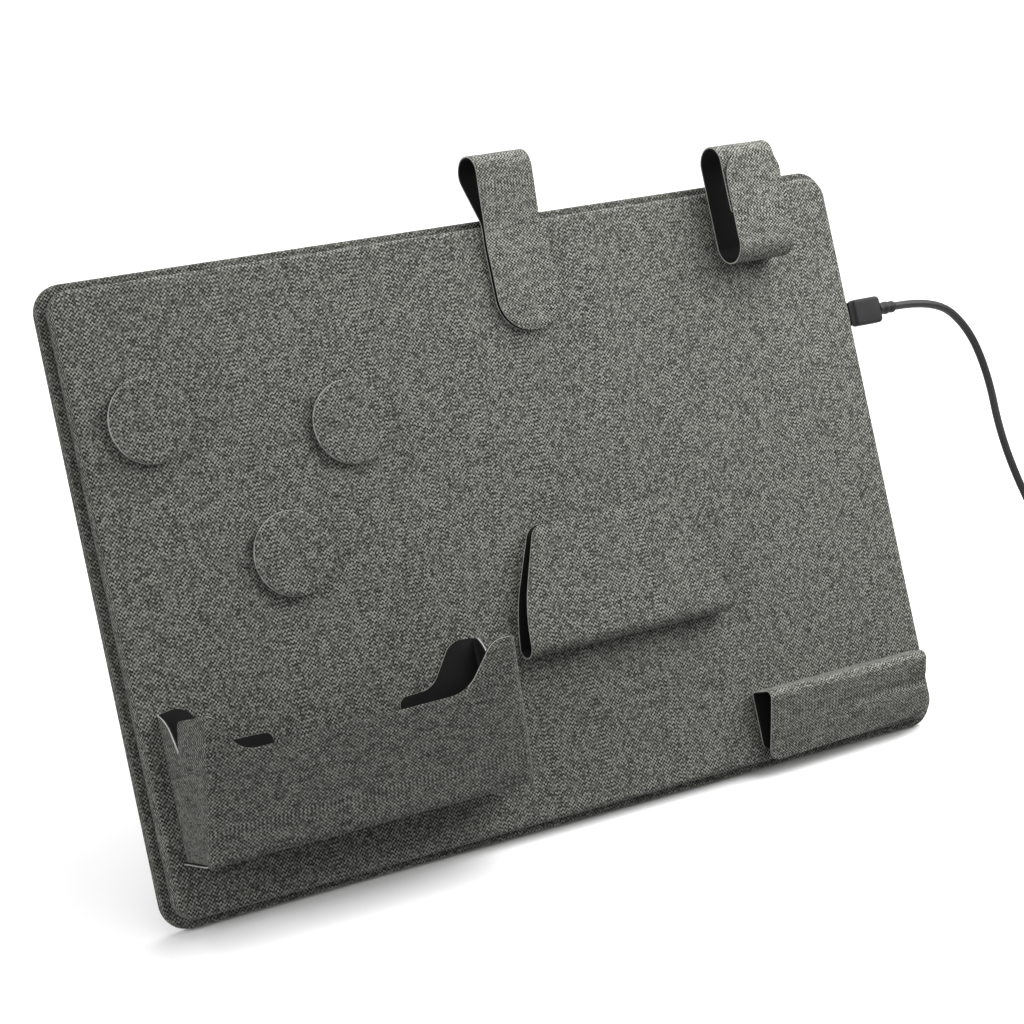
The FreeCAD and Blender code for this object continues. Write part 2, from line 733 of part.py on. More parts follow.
def make_tray():
    """Tray folded from one sheet: flared mouth, ears, a low middle and a notch in each end."""
    body = new_body("tray", "tray")
    left = tray_left
    right = left + size.tray_width
    bottom = size.tray_bottom
    top = bottom + size.tray_height
    floor_front = face_level + size.tray_floor_depth
    mouth_front = face_level + size.tray_mouth_depth
    taper = size.tray_front_taper
    gauge = size.tray_sheet

    def section(name, level, front, shift, wall, fold):
        depth = front - face_level - 2 * wall
        side = square_root(depth * depth + shift * shift)
        trim = fold * (side - shift) / depth
        along = trim * shift / side
        inward = trim * depth / side
        near = left + wall
        far = right - wall
        low = face_level + wall
        high = front - wall
        corners = [
            (near, low),
            (far, low),
            (far - shift + along, high - inward),
            (far - shift - trim, high),
            (near + shift + trim, high),
            (near + shift - along, high - inward),
        ]
        arcs = {
            2: ((far - shift - trim, high - fold), 1),
            4: ((near + shift + trim, high - fold), 1),
        }
        return outline(body, name, "XZ_Plane", corners, level, arcs)

    shell = body.newObject("PartDesign::AdditiveLoft", "tray_shell")
    shell.Profile = section("tray_foot", bottom, floor_front, NIL, NIL, size.tray_fold)
    shell.Sections = [section("tray_mouth", top, mouth_front, taper, NIL, size.tray_fold)]
    shell.Ruled = True
    doc.recompute()

    rise_share = gauge / size.tray_height
    floor_inside = floor_front + (mouth_front - floor_front) * rise_share
    floor_taper = taper * rise_share
    inside = size.tray_fold_inside
    cavity = body.newObject("PartDesign::SubtractiveLoft", "tray_cavity")
    cavity.Profile = section("tray_floor", bottom + gauge, floor_inside, floor_taper, gauge, inside)
    cavity.Sections = [section("tray_inner_mouth", top, mouth_front, taper, gauge, inside)]
    cavity.Ruled = True
    doc.recompute()

    # Each end is cut to a round shoulder behind a narrow notch, and the front stands lower.
    over = top + size.overrun
    front_top = top - size.tray_front_drop
    beyond = mouth_front + size.overrun
    vee, lip = (face_level + size.tray_mouth_depth * share for share in NOTCH_SHARES)
    shoulder = vee - size.tray_shoulder
    shoulder_low = top - size.tray_shoulder
    notch = [
        (top, shoulder),
        (shoulder_low, vee),
        (top - size.tray_notch_depth, vee),
        (front_top, lip),
        (front_top, beyond),
        (over, beyond),
        (over, shoulder),
    ]
    round_shoulder = {0: ((shoulder_low, shoulder), 1)}
    notch_sketch = outline(body, "tray_notch", "YZ_Plane", notch, left + size.tray_width / 2, round_shoulder)
    cut(body, notch_sketch, size.tray_width + 2 * size.overrun, symmetric=True)

    # The front dips between a narrow left ear and a wider right one.
    low = bottom + size.tray_low_edge
    left_ear = left + size.tray_left_ear
    right_ear = right - size.tray_right_ear
    left_low = left_ear + size.tray_ear_slope
    right_low = right_ear - size.tray_ear_slope
    dip = [
        (left_low, low),
        (right_low, low),
        (right_ear, front_top),
        (right_ear, over),
        (left_ear, over),
        (left_ear, front_top),
    ]
    middle = (floor_front + mouth_front) / 2
    dip_sketch = outline(body, "tray_dip", "XY_Plane", dip, middle)
    cut(body, dip_sketch, mouth_front - floor_front + 2 * size.overrun, symmetric=True)
    turns = [(right_ear, front_top), (left_low, low), (right_low, low)]
    soften(body, edges_along(body, 2, turns), size.tray_ear_round)

    # The back is open between two tabs, each of which rises to an ear.
    tab_top = bottom + size.tray_tab_height
    left_tab = left + size.tray_tab
    right_tab = right - size.tray_tab
    left_top = left + size.tray_tab_ear
    right_top = right - size.tray_tab_ear
    left_foot = left_top + size.tray_tab_slope
    right_foot = right_top - size.tray_tab_slope
    back = [
        (left_top, top),
        (left_foot, tab_top),
        (left_tab, tab_top),
        (left_tab, bottom + gauge),
        (right_tab, bottom + gauge),
        (right_tab, tab_top),
        (right_foot, tab_top),
        (right_top, top),
        (right_top, over),
        (left_top, over),
    ]
    back_sketch = outline(body, "tray_back", "XY_Plane", back, face_level + gauge / 2)
    cut(body, back_sketch, gauge + 2 * size.overrun, symmetric=True)
    slopes = [(left_top, top), (left_foot, tab_top), (right_foot, tab_top), (right_top, top)]
    soften(body, edges_along(body, 2, slopes), size.tray_ear_round)
    tabs = [(left_tab, tab_top), (right_tab, tab_top)]
    soften(body, edges_along(body, 2, tabs), size.tray_tab_round)

    middle_x = left + size.tray_width / 2
    height = bottom + size.tray_low_edge / 2
    centres = [(middle_x + size.tray_width / 2 * share, height) for share in MAGNET_SHARES]
    recess_magnets(
        body,
        "tray_magnets",
        centres,
        size.tray_magnet,
        size.magnet_thickness,
        face_level,
        "tray",
    )


def make_card_pocket():
    """Sheet folded up into a shallow pocket, both leaves cut to the same tapered outline."""
    body = new_body("card_pocket", "card_pocket")
    gauge = size.pocket_sheet
    bottom = size.pocket_bottom
    top = bottom + size.pocket_height
    back = face_level
    inner_back = back + gauge
    inner_front = inner_back + size.pocket_gap
    front = inner_front + gauge
    profile = [
        (bottom, back),
        (top, back),
        (top, inner_back),
        (bottom + gauge, inner_back),
        (bottom + gauge, inner_front),
        (top, inner_front),
        (top, front),
        (bottom, front),
    ]
    sketch = outline(body, "pocket_profile", "YZ_Plane", profile, pocket_x)
    pad(body, sketch, size.pocket_width, symmetric=True)
    soften(body, edges_along(body, 0, [profile[0], profile[7]]), size.pocket_fold)
    soften(body, edges_along(body, 0, [profile[3], profile[4]]), size.pocket_fold - gauge)

    shoulder = bottom + size.pocket_shoulder
    half = size.pocket_width / 2
    half_top = size.pocket_top_width / 2
    middle = (back + front) / 2
    depth = front - back + 2 * size.overrun
    for name, side in (("left", -1), ("right", 1)):
        edge = pocket_x + half * side
        outer = edge + size.overrun * side
        taper = [
            (edge, shoulder),
            (outer, shoulder),
            (outer, top + size.overrun),
            (pocket_x + half_top * side, top + size.overrun),
            (pocket_x + half_top * side, top),
        ]
        taper_sketch = outline(body, f"pocket_{name}_taper", "XY_Plane", taper, middle)
        cut(body, taper_sketch, depth, symmetric=True)
    tops = [(pocket_x + half_top * side, top) for side in (-1, 1)]
    soften(body, edges_along(body, 2, tops), size.pocket_corner)
    shoulders = [(pocket_x + half * side, shoulder) for side in (-1, 1)]
    soften(body, edges_along(body, 2, shoulders), size.pocket_shoulder_round)

    height = (bottom + top) / 2
    centres = [(pocket_x + half_top * share, height) for share in MAGNET_SHARES]
    recess_magnets(
        body,
        "pocket_magnets",
        centres,
        size.pocket_magnet,
        size.magnet_thickness,
        back,
        "card_pocket",
    )


def make_ledge():
    """Sheet folded into a three-sided tube that the telephone stands on."""
    body = new_body("phone_ledge", "phone_ledge")
    gauge = size.ledge_sheet
    bottom = size.ledge_bottom
    top = bottom + size.ledge_height
    back = face_level
    front = back + size.ledge_depth
    toe = back + 2 * gauge
    profile = [(bottom, back), (top, back), (top, front), (bottom, toe)]
    sketch = outline(body, "ledge_profile", "YZ_Plane", profile, ledge_x)
    pad(body, sketch, size.ledge_width, symmetric=True)
    soften(body, edges_along(body, 0, [profile[2]]), size.ledge_fold + gauge)

    rise = (front - toe) / size.ledge_height
    wall = gauge * square_root(rise * rise + 1)
    foot = bottom + 3 * gauge
    inner_top = top - gauge
    inner = [
        (foot, back + gauge),
        (inner_top, back + gauge),
        (inner_top, toe + rise * (inner_top - bottom) - wall),
        (foot, toe + rise * (foot - bottom) - wall),
    ]
    room = outline(body, "ledge_room", "YZ_Plane", inner, ledge_x)
    cut(body, room, size.ledge_width + 2 * size.overrun, symmetric=True)
    soften(body, edges_along(body, 0, [inner[2]]), size.ledge_fold)

    height = bottom + size.ledge_height / 2
    centres = [(ledge_x + size.ledge_width / 2 * share, height) for share in MAGNET_SHARES]
    recess_magnets(
        body,
        "ledge_magnets",
        centres,
        size.ledge_magnet,
        size.magnet_thickness,
        back,
        "phone_ledge",
    )


def touch(corner, centre, radius, turn):
    """Where a line from a corner touches a circle, on its low side for -1 and its high one for 1."""
    rise = centre[0] - corner[0]
    out = centre[1] - corner[1]
    reach = rise * rise + out * out
    run = square_root(reach - radius * radius)
    up = run * (run * rise - turn * radius * out) / reach
    aside = run * (run * out + turn * radius * rise) / reach
    return corner[0] + up, corner[1] + aside


def make_pen_loop():
    """Strap folded back round a pen, its two layers glued into one round-ended tongue."""
    body = new_body("pen_loop", "pen_loop")
    gauge = size.pen_sheet
    seam = face_level + gauge
    front = seam + gauge
    bore = size.pen_bore / 2
    centre = (pen_centre, seam - size.pen_set_back)
    profile = [
        (pen_tip, face_level),
        (pen_waist, face_level),
        touch((pen_waist, face_level), centre, bore + gauge, -1),
        touch((pen_waist, front), centre, bore + gauge, 1),
        (pen_waist, front),
        (pen_tip, front),
    ]
    sketch = outline(body, "pen_profile", "YZ_Plane", profile, size.pen_x, {2: (centre, 1)})
    pad(body, sketch, size.pen_width, symmetric=True)
    throat = (pen_waist + 2 * gauge, seam)
    room = [throat, touch(throat, centre, bore, -1), touch(throat, centre, bore, 1)]
    inside = outline(body, "pen_room", "YZ_Plane", room, size.pen_x, {1: (centre, 1)})
    cut(body, inside, size.pen_width + 2 * size.overrun, symmetric=True)
    half = size.pen_width / 2
    tips = [(size.pen_x + half * side, pen_tip) for side in (-1, 1)]
    soften(body, edges_along(body, 2, tips), size.pen_tip_round)
    spot = (size.pen_x, pen_tip + half)
    recess_magnets(
        body,
        "pen_magnet",
        [spot],
        size.pen_magnet,
        size.magnet_thickness,
        face_level,
        "pen_loop",
    )


def keeper_levels():
    """Levels of the keeper's layers: back layer, lapped end and outer flap."""
    gauge = size.keeper_sheet
    inner_back = face_level + gauge
    flap_front = face_level + size.keeper_depth
    flap_back = flap_front - gauge
    return inner_back, flap_back - gauge, flap_back, flap_front


def make_keeper():
    """Strap bent into a standing loop, closed by a flap that laps its free end."""
    body = new_body("keeper_strap", "cable_keeper")
    inner_back, lap_back, flap_back, flap_front = keeper_levels()
    crown_axis = (face_level + flap_back) / 2
    crown = keeper_top - (flap_back - crown_axis)
    bend_axis = (face_level + flap_front) / 2
    bend = keeper_bottom + (flap_front - bend_axis)
    heel = bend + size.keeper_heel
    profile = [
        (keeper_lap_end, lap_back),
        (crown, lap_back),
        (crown, inner_back),
        (bend, inner_back),
        (bend, flap_back),
        (heel, flap_back),
        (heel, flap_front),
        (bend, flap_front),
        (bend, face_level),
        (crown, face_level),
        (crown, flap_back),
        (keeper_lap_end, flap_back),
    ]
    arcs = {
        1: ((crown, (lap_back + inner_back) / 2), -1),
        3: ((bend, (inner_back + flap_back) / 2), -1),
        7: ((bend, bend_axis), 1),
        9: ((crown, crown_axis), 1),
    }
    sketch = outline(body, "keeper_profile", "YZ_Plane", profile, keeper_x, arcs)
    pad(body, sketch, size.keeper_width, symmetric=True)
    spot = (keeper_x, front_top - size.keeper_magnet)
    recess_magnets(
        body,
        "keeper_magnet",
        [spot],
        size.keeper_magnet,
        size.magnet_thickness,
        face_level,
        "cable_keeper",
    )

    flap = new_body("keeper_flap", "keeper_flap")
    half = size.keeper_width / 2
    corners = rectangle(
        keeper_x - half,
        heel + size.keeper_seam,
        keeper_x + half,
        keeper_flap_top,
    )
    pad(flap, outline(flap, "flap_outline", "XY_Plane", corners, flap_back), size.keeper_sheet)
    soften(flap, edges_along(flap, 2, corners[2:]), size.keeper_flap_round)
    clasp = (keeper_x, keeper_flap_top - size.flap_magnet_drop)
    recess_magnets(
        flap,
        "flap_magnet",
        [clasp],
        size.flap_magnet,
        size.flap_magnet_thickness,
        flap_back,
        "keeper_flap",
    )
    return heel, flap_front


# The panel stands on the rounded lower back edge of its rear board.
sill = size.wrap_edge * (cosine(size.lean_angle) + sine(size.lean_angle) - 1)
hinge_level = -(size.knuckle_radius + size.knuckle_lift)
half_leg = size.leg_thickness / 2


def leg_reach():
    """Length of the leg below its pin that brings its rounded foot down to the floor."""
    spread = size.leg_open_angle - size.lean_angle
    pin_height = size.hinge_y * cosine(size.lean_angle) + hinge_level * sine(size.lean_angle) - sill
    edge = size.leg_edge
    drop = (pin_height - edge - (half_leg - edge) * sine(spread)) / cosine(spread)
    return drop + edge


def make_leg():
    """Tapered leg in a cloth wrap, with card inside and a heel that stops it when open."""
    pin_y = size.hinge_y
    foot = pin_y - leg_reach()
    front = hinge_level + half_leg
    back = hinge_level - half_leg
    stop = -hinge_level - size.heel_gap
    open_cos = cosine(size.leg_open_angle)
    open_sin = sine(size.leg_open_angle)
    heel_front = pin_y + (stop - half_leg * open_cos) / open_sin
    heel_back = pin_y + (stop + half_leg * open_cos) / open_sin
    half_top = size.leg_top_width / 2
    half_foot = size.leg_foot_width / 2

    wrap = new_body("leg_wrap", "leg")
    corners = [(-half_foot, foot), (half_foot, foot), (half_top, heel_back), (-half_top, heel_back)]
    pad(wrap, outline(wrap, "leg_outline", "XY_Plane", corners, back), size.leg_thickness)
    soften(wrap, edges_along(wrap, 2, corners[:2]), size.leg_corner)
    rims = [
        f"Edge{number}"
        for number, edge in enumerate(wrap.Shape.Edges, start=1)
        if edge.BoundBox.ZLength < edge_match and edge.BoundBox.YMin < heel_back.value - edge_match
    ]
    soften(wrap, rims, size.leg_edge)
    bevel = [
        (heel_front, front),
        (heel_back, back),
        (heel_back + size.overrun, back),
        (heel_back + size.overrun, front + size.overrun),
        (heel_front, front + size.overrun),
    ]
    bevel_sketch = outline(wrap, "leg_bevel", "YZ_Plane", bevel)
    cut(wrap, bevel_sketch, size.leg_top_width + 2 * size.overrun, symmetric=True)
    half_notch = size.leg_notch_width / 2
    notch_floor = pin_y - size.leg_notch_depth
    notch = rectangle(-half_notch, notch_floor, half_notch, heel_back + size.overrun)
    notch_sketch = outline(wrap, "leg_notch", "XY_Plane", notch, hinge_level)
    cut(wrap, notch_sketch, size.leg_thickness + 2 * size.overrun, symmetric=True)

    skin = size.wrap_thickness
    rim = size.leg_rim
    core_top = notch_floor - skin
    taper = (half_foot - half_top) / (heel_back - foot)

    def inside(margin):
        low = foot + margin
        high = core_top + rim - margin
        half_low = half_foot - taper * margin - margin
        half_high = half_foot - taper * (high - foot) - margin
        return [(-half_low, low), (half_low, low), (half_high, high), (-half_high, high)]

    depth = size.leg_thickness - skin
    cavity = inside(rim)
    cut(wrap, outline(wrap, "leg_cavity", "XY_Plane", cavity, front), depth)
    filling = inside(rim + size.core_gap)
    core = new_body("leg_core", "leg")
    core_sketch = outline(core, "leg_core_outline", "XY_Plane", filling, back + skin)
    pad(core, core_sketch, depth - size.leg_lining)
    lining = new_body("leg_lining", "leg")
    lining_level = front - size.leg_lining
    lining_sketch = outline(lining, "leg_lining_outline", "XY_Plane", filling, lining_level)
    pad(lining, lining_sketch, size.leg_lining)
    return wrap, core, lining


def rivet_places(row):
    """Middles of the rivets of one leaf."""
    return [(size.rivet_spread * step, row) for step in (-1, 0, 1)]


def make_rivets(label, group, row, head_level, foot_level, clenched):
    """Rivets with a round head behind the leaf, and a clenched foot where that end is free."""
    body = new_body(label, group)
    body.AllowCompound = True
    places = rivet_places(row)
    shanks = circles(body, f"{label}_shanks", "XY_Plane", places, size.rivet_radius, head_level)
    pad(body, shanks, foot_level - head_level)
    heads = circles(body, f"{label}_heads", "XY_Plane", places, size.rivet_head_radius, head_level)
    pad(body, heads, size.rivet_head_height, backwards=True)
    crown = head_level - size.rivet_head_height
    soften(body, edges_level(body, 2, crown), size.rivet_head_height / 2)
    if clenched:
        feet = circles(body, f"{label}_feet", "XY_Plane", places, size.rivet_head_radius, foot_level)
        pad(body, feet, size.rivet_foot_height)


def drill_rivets(body, name, row):
    """Rivet holes through a plate."""
    holes = circles(body, name, "XY_Plane", rivet_places(row), size.rivet_radius + size.rivet_gap)
    reach = 2 * (size.board_thickness + size.leg_thickness + size.knuckle_radius)
    cut(body, holes, reach, symmetric=True)


def make_leaf(label, group, level, direction, knuckles):
    """Hinge leaf: a plate with rolled knuckles about the pin."""
    body = new_body(label, group)
    half = size.hinge_width / 2
    far = size.hinge_y + size.hinge_leaf * direction
    corners = rectangle(-half, size.hinge_y, half, far)
    plate = outline(body, f"{label}_plate", "XY_Plane", corners, level)
    pad(body, plate, size.leaf_thickness)
    soften(body, edges_along(body, 2, corners[2:]), size.leaf_corner)
    axis = (size.hinge_y, hinge_level)
    for number, (start, stop) in enumerate(knuckles):
        roll = circles(body, f"{label}_roll_{number}", "YZ_Plane", [axis], size.knuckle_radius, start)
        pad(body, roll, stop - start)
    gaps = [(stop, start) for (_, stop), (start, _) in zip(knuckles, knuckles[1:])]
    if knuckles[0][0].value > -half.value + edge_match:
        gaps = [(-half - size.overrun, knuckles[0][0]), (knuckles[-1][1], half + size.overrun)]
    reach = size.knuckle_radius + size.knuckle_gap
    for number, (start, stop) in enumerate(gaps):
        room = circles(body, f"{label}_room_{number}", "YZ_Plane", [axis], reach, start)
        cut(body, room, stop - start, forwards=True)
    bore = circles(body, f"{label}_bore", "YZ_Plane", [axis], size.pin_radius + size.pin_clearance)
    cut(body, bore, size.hinge_width + 2 * size.overrun, symmetric=True)
    return body


def make_hinge(rear_wrap, rear_core, leg_wrap, leg_core, leg_lining):
    """Two leaves, the pin they share and the rivets that hold them."""
    half = size.hinge_width / 2
    first = -half + size.hinge_width * KNUCKLE_SHARES[0]
    second = first + size.hinge_width * KNUCKLE_SHARES[1]
    gap = size.knuckle_gap
    board_level = -size.leaf_thickness
    leg_level = hinge_level - half_leg - size.leaf_thickness
    outer_knuckles = [(-half, first), (second, half)]
    middle_knuckle = [(first + gap, second - gap)]
    board_leaf = make_leaf("hinge_leaf_board", "panel", board_level, 1, outer_knuckles)
    leg_leaf = make_leaf("hinge_leaf_leg", "leg", leg_level, -1, middle_knuckle)

    pin = new_body("hinge_pin", "panel")
    axis = (size.hinge_y, hinge_level)
    pad(pin, circles(pin, "pin_shank", "YZ_Plane", [axis], size.pin_radius, -half), size.hinge_width)
    for name, level, backwards in (("left", -half, True), ("right", half, False)):
        head = circles(pin, f"pin_{name}_head", "YZ_Plane", [axis], size.pin_head_radius, level)
        pad(pin, head, size.pin_head_length, backwards=backwards)

    board_row = size.hinge_y + size.hinge_leaf - size.rivet_inset
    leg_row = size.hinge_y - size.hinge_leaf + size.rivet_inset
    for body, name, row in (
        (board_leaf, "board_leaf_holes", board_row),
        (rear_wrap, "rear_wrap_holes", board_row),
        (rear_core, "rear_core_holes", board_row),
        (leg_leaf, "leg_leaf_holes", leg_row),
        (leg_wrap, "leg_wrap_holes", leg_row),
        (leg_core, "leg_core_holes", leg_row),
        (leg_lining, "leg_lining_holes", leg_row),
    ):
        drill_rivets(body, name, row)
    make_rivets("board_rivets", "panel", board_row, board_level, rear_lip, False)
    make_rivets("leg_rivets", "leg", leg_row, leg_level, hinge_level + half_leg, True)


def make_plug():
    """Plug in the socket: metal shell, moulded grip and tapered strain relief."""
    middle = front_level + size.front_thickness / 2
    start = half_front + size.plug_gap
    centre_y = size.socket_y
    shell = new_body("plug_shell", "power_plug")
    corners, arcs = stadium((centre_y, middle), size.plug_shell_width / 2, size.plug_shell_height / 2)
    sketch = outline(shell, "plug_shell_outline", "YZ_Plane", corners, start, arcs)
    pad(shell, sketch, size.plug_shell_length, backwards=True)

    grip = new_body("plug_grip", "power_plug")
    half_width = size.plug_width / 2
    half_height = size.plug_height / 2
    corners = rectangle(
        centre_y - half_width,
        middle - half_height,
        centre_y + half_width,
        middle + half_height,
    )
    pad(grip, outline(grip, "plug_grip_outline", "YZ_Plane", corners, start), size.plug_length)
    soften(grip, edges_along(grip, 0, corners), size.plug_corner)
    neck = start + size.plug_length
    soften(grip, edges_level(grip, 0, neck), size.plug_edge)

    axis = (centre_y, middle)
    tip = neck + size.relief_length
    make_relief("strain_relief", "power_plug", axis, neck, size.relief_radius, tip, size.relief_tip_radius)
    return FreeCAD.Vector(tip.value, centre_y.value, middle.value)


def make_relief(label, group, axis, start, start_radius, stop, stop_radius):
    """Tapered sleeve between a moulded grip and its lead."""
    body = new_body(label, group)
    cone = body.newObject("PartDesign::AdditiveLoft", f"{label}_cone")
    cone.Profile = circles(body, f"{label}_start", "YZ_Plane", [axis], start_radius, start)
    cone.Sections = [circles(body, f"{label}_stop", "YZ_Plane", [axis], stop_radius, stop)]
    doc.recompute()


def make_far_plug():
    """Flat plug at the far end, along x from the end of the lead at the origin."""
    axis = (NIL, NIL)
    neck = size.far_relief_length
    make_relief("far_relief", "far_plug", axis, NIL, size.relief_tip_radius, neck, size.relief_radius)

    grip = new_body("far_grip", "far_plug")
    half_width = size.far_plug_width / 2
    half_height = size.far_plug_height / 2
    corners = rectangle(-half_width, -half_height, half_width, half_height)
    pad(grip, outline(grip, "far_grip_outline", "YZ_Plane", corners, neck), size.far_plug_length)
    soften(grip, edges_along(grip, 0, corners), size.far_plug_edge)
    soften(grip, edges_level(grip, 0, neck), size.far_plug_edge)

    front = neck + size.far_plug_length
    tip = front + size.far_shell_length
    wall = size.far_shell_wall
    half_width = size.far_shell_width / 2
    half_height = size.far_shell_height / 2
    shell = new_body("far_shell", "far_plug")
    corners = rectangle(-half_width, -half_height, half_width, half_height)
    pad(shell, outline(shell, "far_shell_outline", "YZ_Plane", corners, front), size.far_shell_length)
    mouth = rectangle(wall - half_width, wall - half_height, half_width - wall, half_height - wall)
    mouth_sketch = outline(shell, "far_shell_mouth", "YZ_Plane", mouth, tip)
    cut(shell, mouth_sketch, size.far_shell_length - wall)
    half_window = size.far_window / 2
    window_x = tip - size.far_window_setback
    for name, side in (("left", -1), ("right", 1)):
        middle = size.far_window_spread * side
        window = rectangle(
            window_x - half_window,
            middle - half_window,
            window_x + half_window,
            middle + half_window,
        )
        window_sketch = outline(shell, f"far_{name}_window", "XY_Plane", window)
        cut(shell, window_sketch, size.far_shell_height + size.overrun, symmetric=True)

    tongue = new_body("far_tongue", "far_plug")
    side = half_width - wall - size.far_tongue_gap
    low = wall + size.far_tongue_gap - half_height
    plate = rectangle(-side, low, side, low + size.far_tongue_thickness)
    root = front + wall
    pad(tongue, outline(tongue, "far_tongue_outline", "YZ_Plane", plate, root), size.far_shell_length - wall)


def new_solid(label, group, shape):
    """Enters a solid that is swept along a lead among the pieces."""
    feature = doc.addObject("Part::Feature", label)
    feature.Label = label
    feature.Shape = shape
    pieces[label] = (feature, group)
    return feature


def bent_path(name, points):
    """Straight runs joined by arcs that are as large as the shorter run beside each bend allows."""
    edges = []
    radii = []
    start = points[0]
    for before, bend, after in zip(points, points[1:], points[2:]):
        arriving = bend - before
        leaving = after - bend
        half_turn = arriving.getAngle(leaving) / 2
        reach = BEND_SHARE * min(arriving.Length, leaving.Length)
        radius = reach / math.tan(half_turn)
        radii.append(round(radius, 1))
        arriving.normalize()
        leaving.normalize()
        inward = leaving - arriving
        inward.normalize()
        crest = bend + inward * (radius / math.cos(half_turn) - radius)
        entry = bend - arriving * reach
        edges.append(Part.LineSegment(start, entry).toShape())
        start = bend + leaving * reach
        edges.append(Part.Arc(entry, crest, start).toShape())
    edges.append(Part.LineSegment(start, points[-1]).toShape())
    print(name, "bend radii", radii)
    return Part.Wire(edges)


def sweep_lead(label, path):
    """Round lead along a path, checked against its section times its length."""
    radius = size.cord_diameter.value / 2
    first = path.OrderedEdges[0]
    ring = Part.Circle(first.valueAt(first.FirstParameter), first.tangentAt(first.FirstParameter), radius)
    solid = path.makePipeShell([Part.Wire([ring.toShape()])], True, False)
    wanted = math.pi * radius**2 * path.Length
    if abs(solid.Volume - wanted) > VOLUME_SHARE * wanted:
        raise ValueError(f"{label} has volume {solid.Volume} and not {wanted}")
    print(label, "length", round(path.Length, 1), "volume share", round(solid.Volume / wanted, 4))
    new_solid(label, "lead", solid)


# The coil lies on the tie that goes round it, which lies on the desk.
coil_low = size.tie_thickness + size.tie_gap + size.cord_diameter / 2
coil_high = coil_low + size.coil_layer
coil_first = size.coil_radius + size.coil_pitch * COIL_HALF_TURNS / 4


def coil_path():
    """Half turns that spiral in on the desk, climb a layer as they reverse, and spiral out."""
    diameter = size.cord_diameter.value
    place = FreeCAD.Vector(coil_x.value, size.coil_front.value, coil_low.value)
    edges = [Part.LineSegment(place - X_AXIS * diameter, place).toShape()]
    steps_in = list(range(COIL_HALF_TURNS + 1))
    steps_out = list(range(COIL_HALF_TURNS - 1, -2, -1))
    direction = 1
    for number, step in enumerate(steps_in + steps_out):
        radius = (coil_first - size.coil_pitch * step / 2).value
        level = coil_low if number < COIL_HALF_TURNS else coil_high
        stop = FreeCAD.Vector(place.x, place.y + 2 * radius * direction, level.value)
        middle = (place + stop) / 2 + X_AXIS * direction * (place.distanceToPoint(stop) / 2)
        edges.append(Part.Arc(place, middle, stop).toShape())
        place = stop
        direction = -direction
    edges.append(Part.LineSegment(place, place + X_AXIS * diameter).toShape())
    return Part.Wire(edges)


def least_gap(path):
    """Smallest clear distance between different turns of a lead, measured on points along it."""
    step = size.cord_diameter.value / 2
    points = path.discretize(Distance=step)
    apart = int(math.pi * size.coil_radius.value / step)
    nearest = min(
        points[number].distanceToPoint(other)
        for number in range(len(points))
        for other in points[number + apart :]
    )
    return nearest - size.cord_diameter.value


def make_tie():
    """Strap round the side of the coil where three turns lie in each layer."""
    body = new_body("cord_tie", "lead")
    radius = size.cord_diameter / 2
    gap = size.tie_gap
    gauge = size.tie_thickness
    innermost = coil_first - size.coil_pitch * (COIL_HALF_TURNS - 1) / 2 - radius
    overhang = size.tie_width / 2 + size.coil_pitch / 2
    inner = coil_x + square_root(innermost * innermost - overhang * overhang) - gap
    outer = coil_x + coil_first + radius + gap
    low = coil_low - radius - gap
    high = coil_high + radius + gap
    middle = size.coil_front + coil_first + size.coil_pitch / 2
    strap = rectangle(inner - gauge, low - gauge, outer + gauge, high + gauge)
    pad(body, outline(body, "tie_outline", "XZ_Plane", strap, middle), size.tie_width, symmetric=True)
    soften(body, edges_along(body, 1, strap), size.tie_round)
    window = outline(body, "tie_window", "XZ_Plane", rectangle(inner, low, outer, high), middle)
    cut(body, window, size.tie_width + size.overrun, symmetric=True)


def make_lead(plug_tip):
    """Lead from the plug to the desk, its coil, and the tail that ends at the far plug."""
    coil = coil_path()
    coil_start = coil.OrderedVertexes[0].Point
    coil_end = coil.OrderedVertexes[-1].Point
    route = [plug_tip, plug_tip + X_AXIS * size.lead_exit_run.value]
    edge = X_AXIS * half_board.value
    route += [edge + FreeCAD.Vector(*point) for point in LEAD_ROUTE]
    route += [coil_start - X_AXIS * size.lead_approach_run.value, coil_start]
    lead = bent_path("power_cord", route)
    sweep_lead("power_cord", lead)
    sweep_lead("cord_coil", coil)
    print("cord_coil least gap", round(least_gap(coil), 2))
    tail_route = [coil_end, coil_end + X_AXIS * size.tail_exit_run.value]
    tail_route += [edge + FreeCAD.Vector(*point) for point in TAIL_ROUTE]
    tail = bent_path("cord_tail", tail_route)
    sweep_lead("cord_tail", tail)
    make_tie()
    print("lead length in all", round(lead.Length + coil.Length + tail.Length, 1))
    along = tail_route[-1] - tail_route[-2]
    heading = math.degrees(math.atan2(along.y, along.x))
    return FreeCAD.Placement(tail_route[-1], FreeCAD.Rotation(Z_AXIS, heading))


def shift_to_middle(place, leg_turn):
    """Moves the standing part so that its footprint, without the lead, is centred front to back."""
    standing = []
    for item, group in pieces.values():
        if group in ("power_plug", "far_plug", "lead"):
            continue
        shape = item.Shape.copy()
        turn = place.multiply(leg_turn) if group == "leg" else place
        shape.Placement = turn.multiply(shape.Placement)
        standing.append(shape)
    box = Part.makeCompound(standing).optimalBoundingBox(False, False)
    place.Base.y -= (box.YMin + box.YMax) / 2
    return place


def settle(place, leg_turn, far_place):
    """Gives every piece its place in the frame of the standing part."""
    for item, group in pieces.values():
        if group == "leg":
            item.Placement = place.multiply(leg_turn)
        elif group == "far_plug":
            item.Placement = far_place
        elif group != "lead":
            item.Placement = place


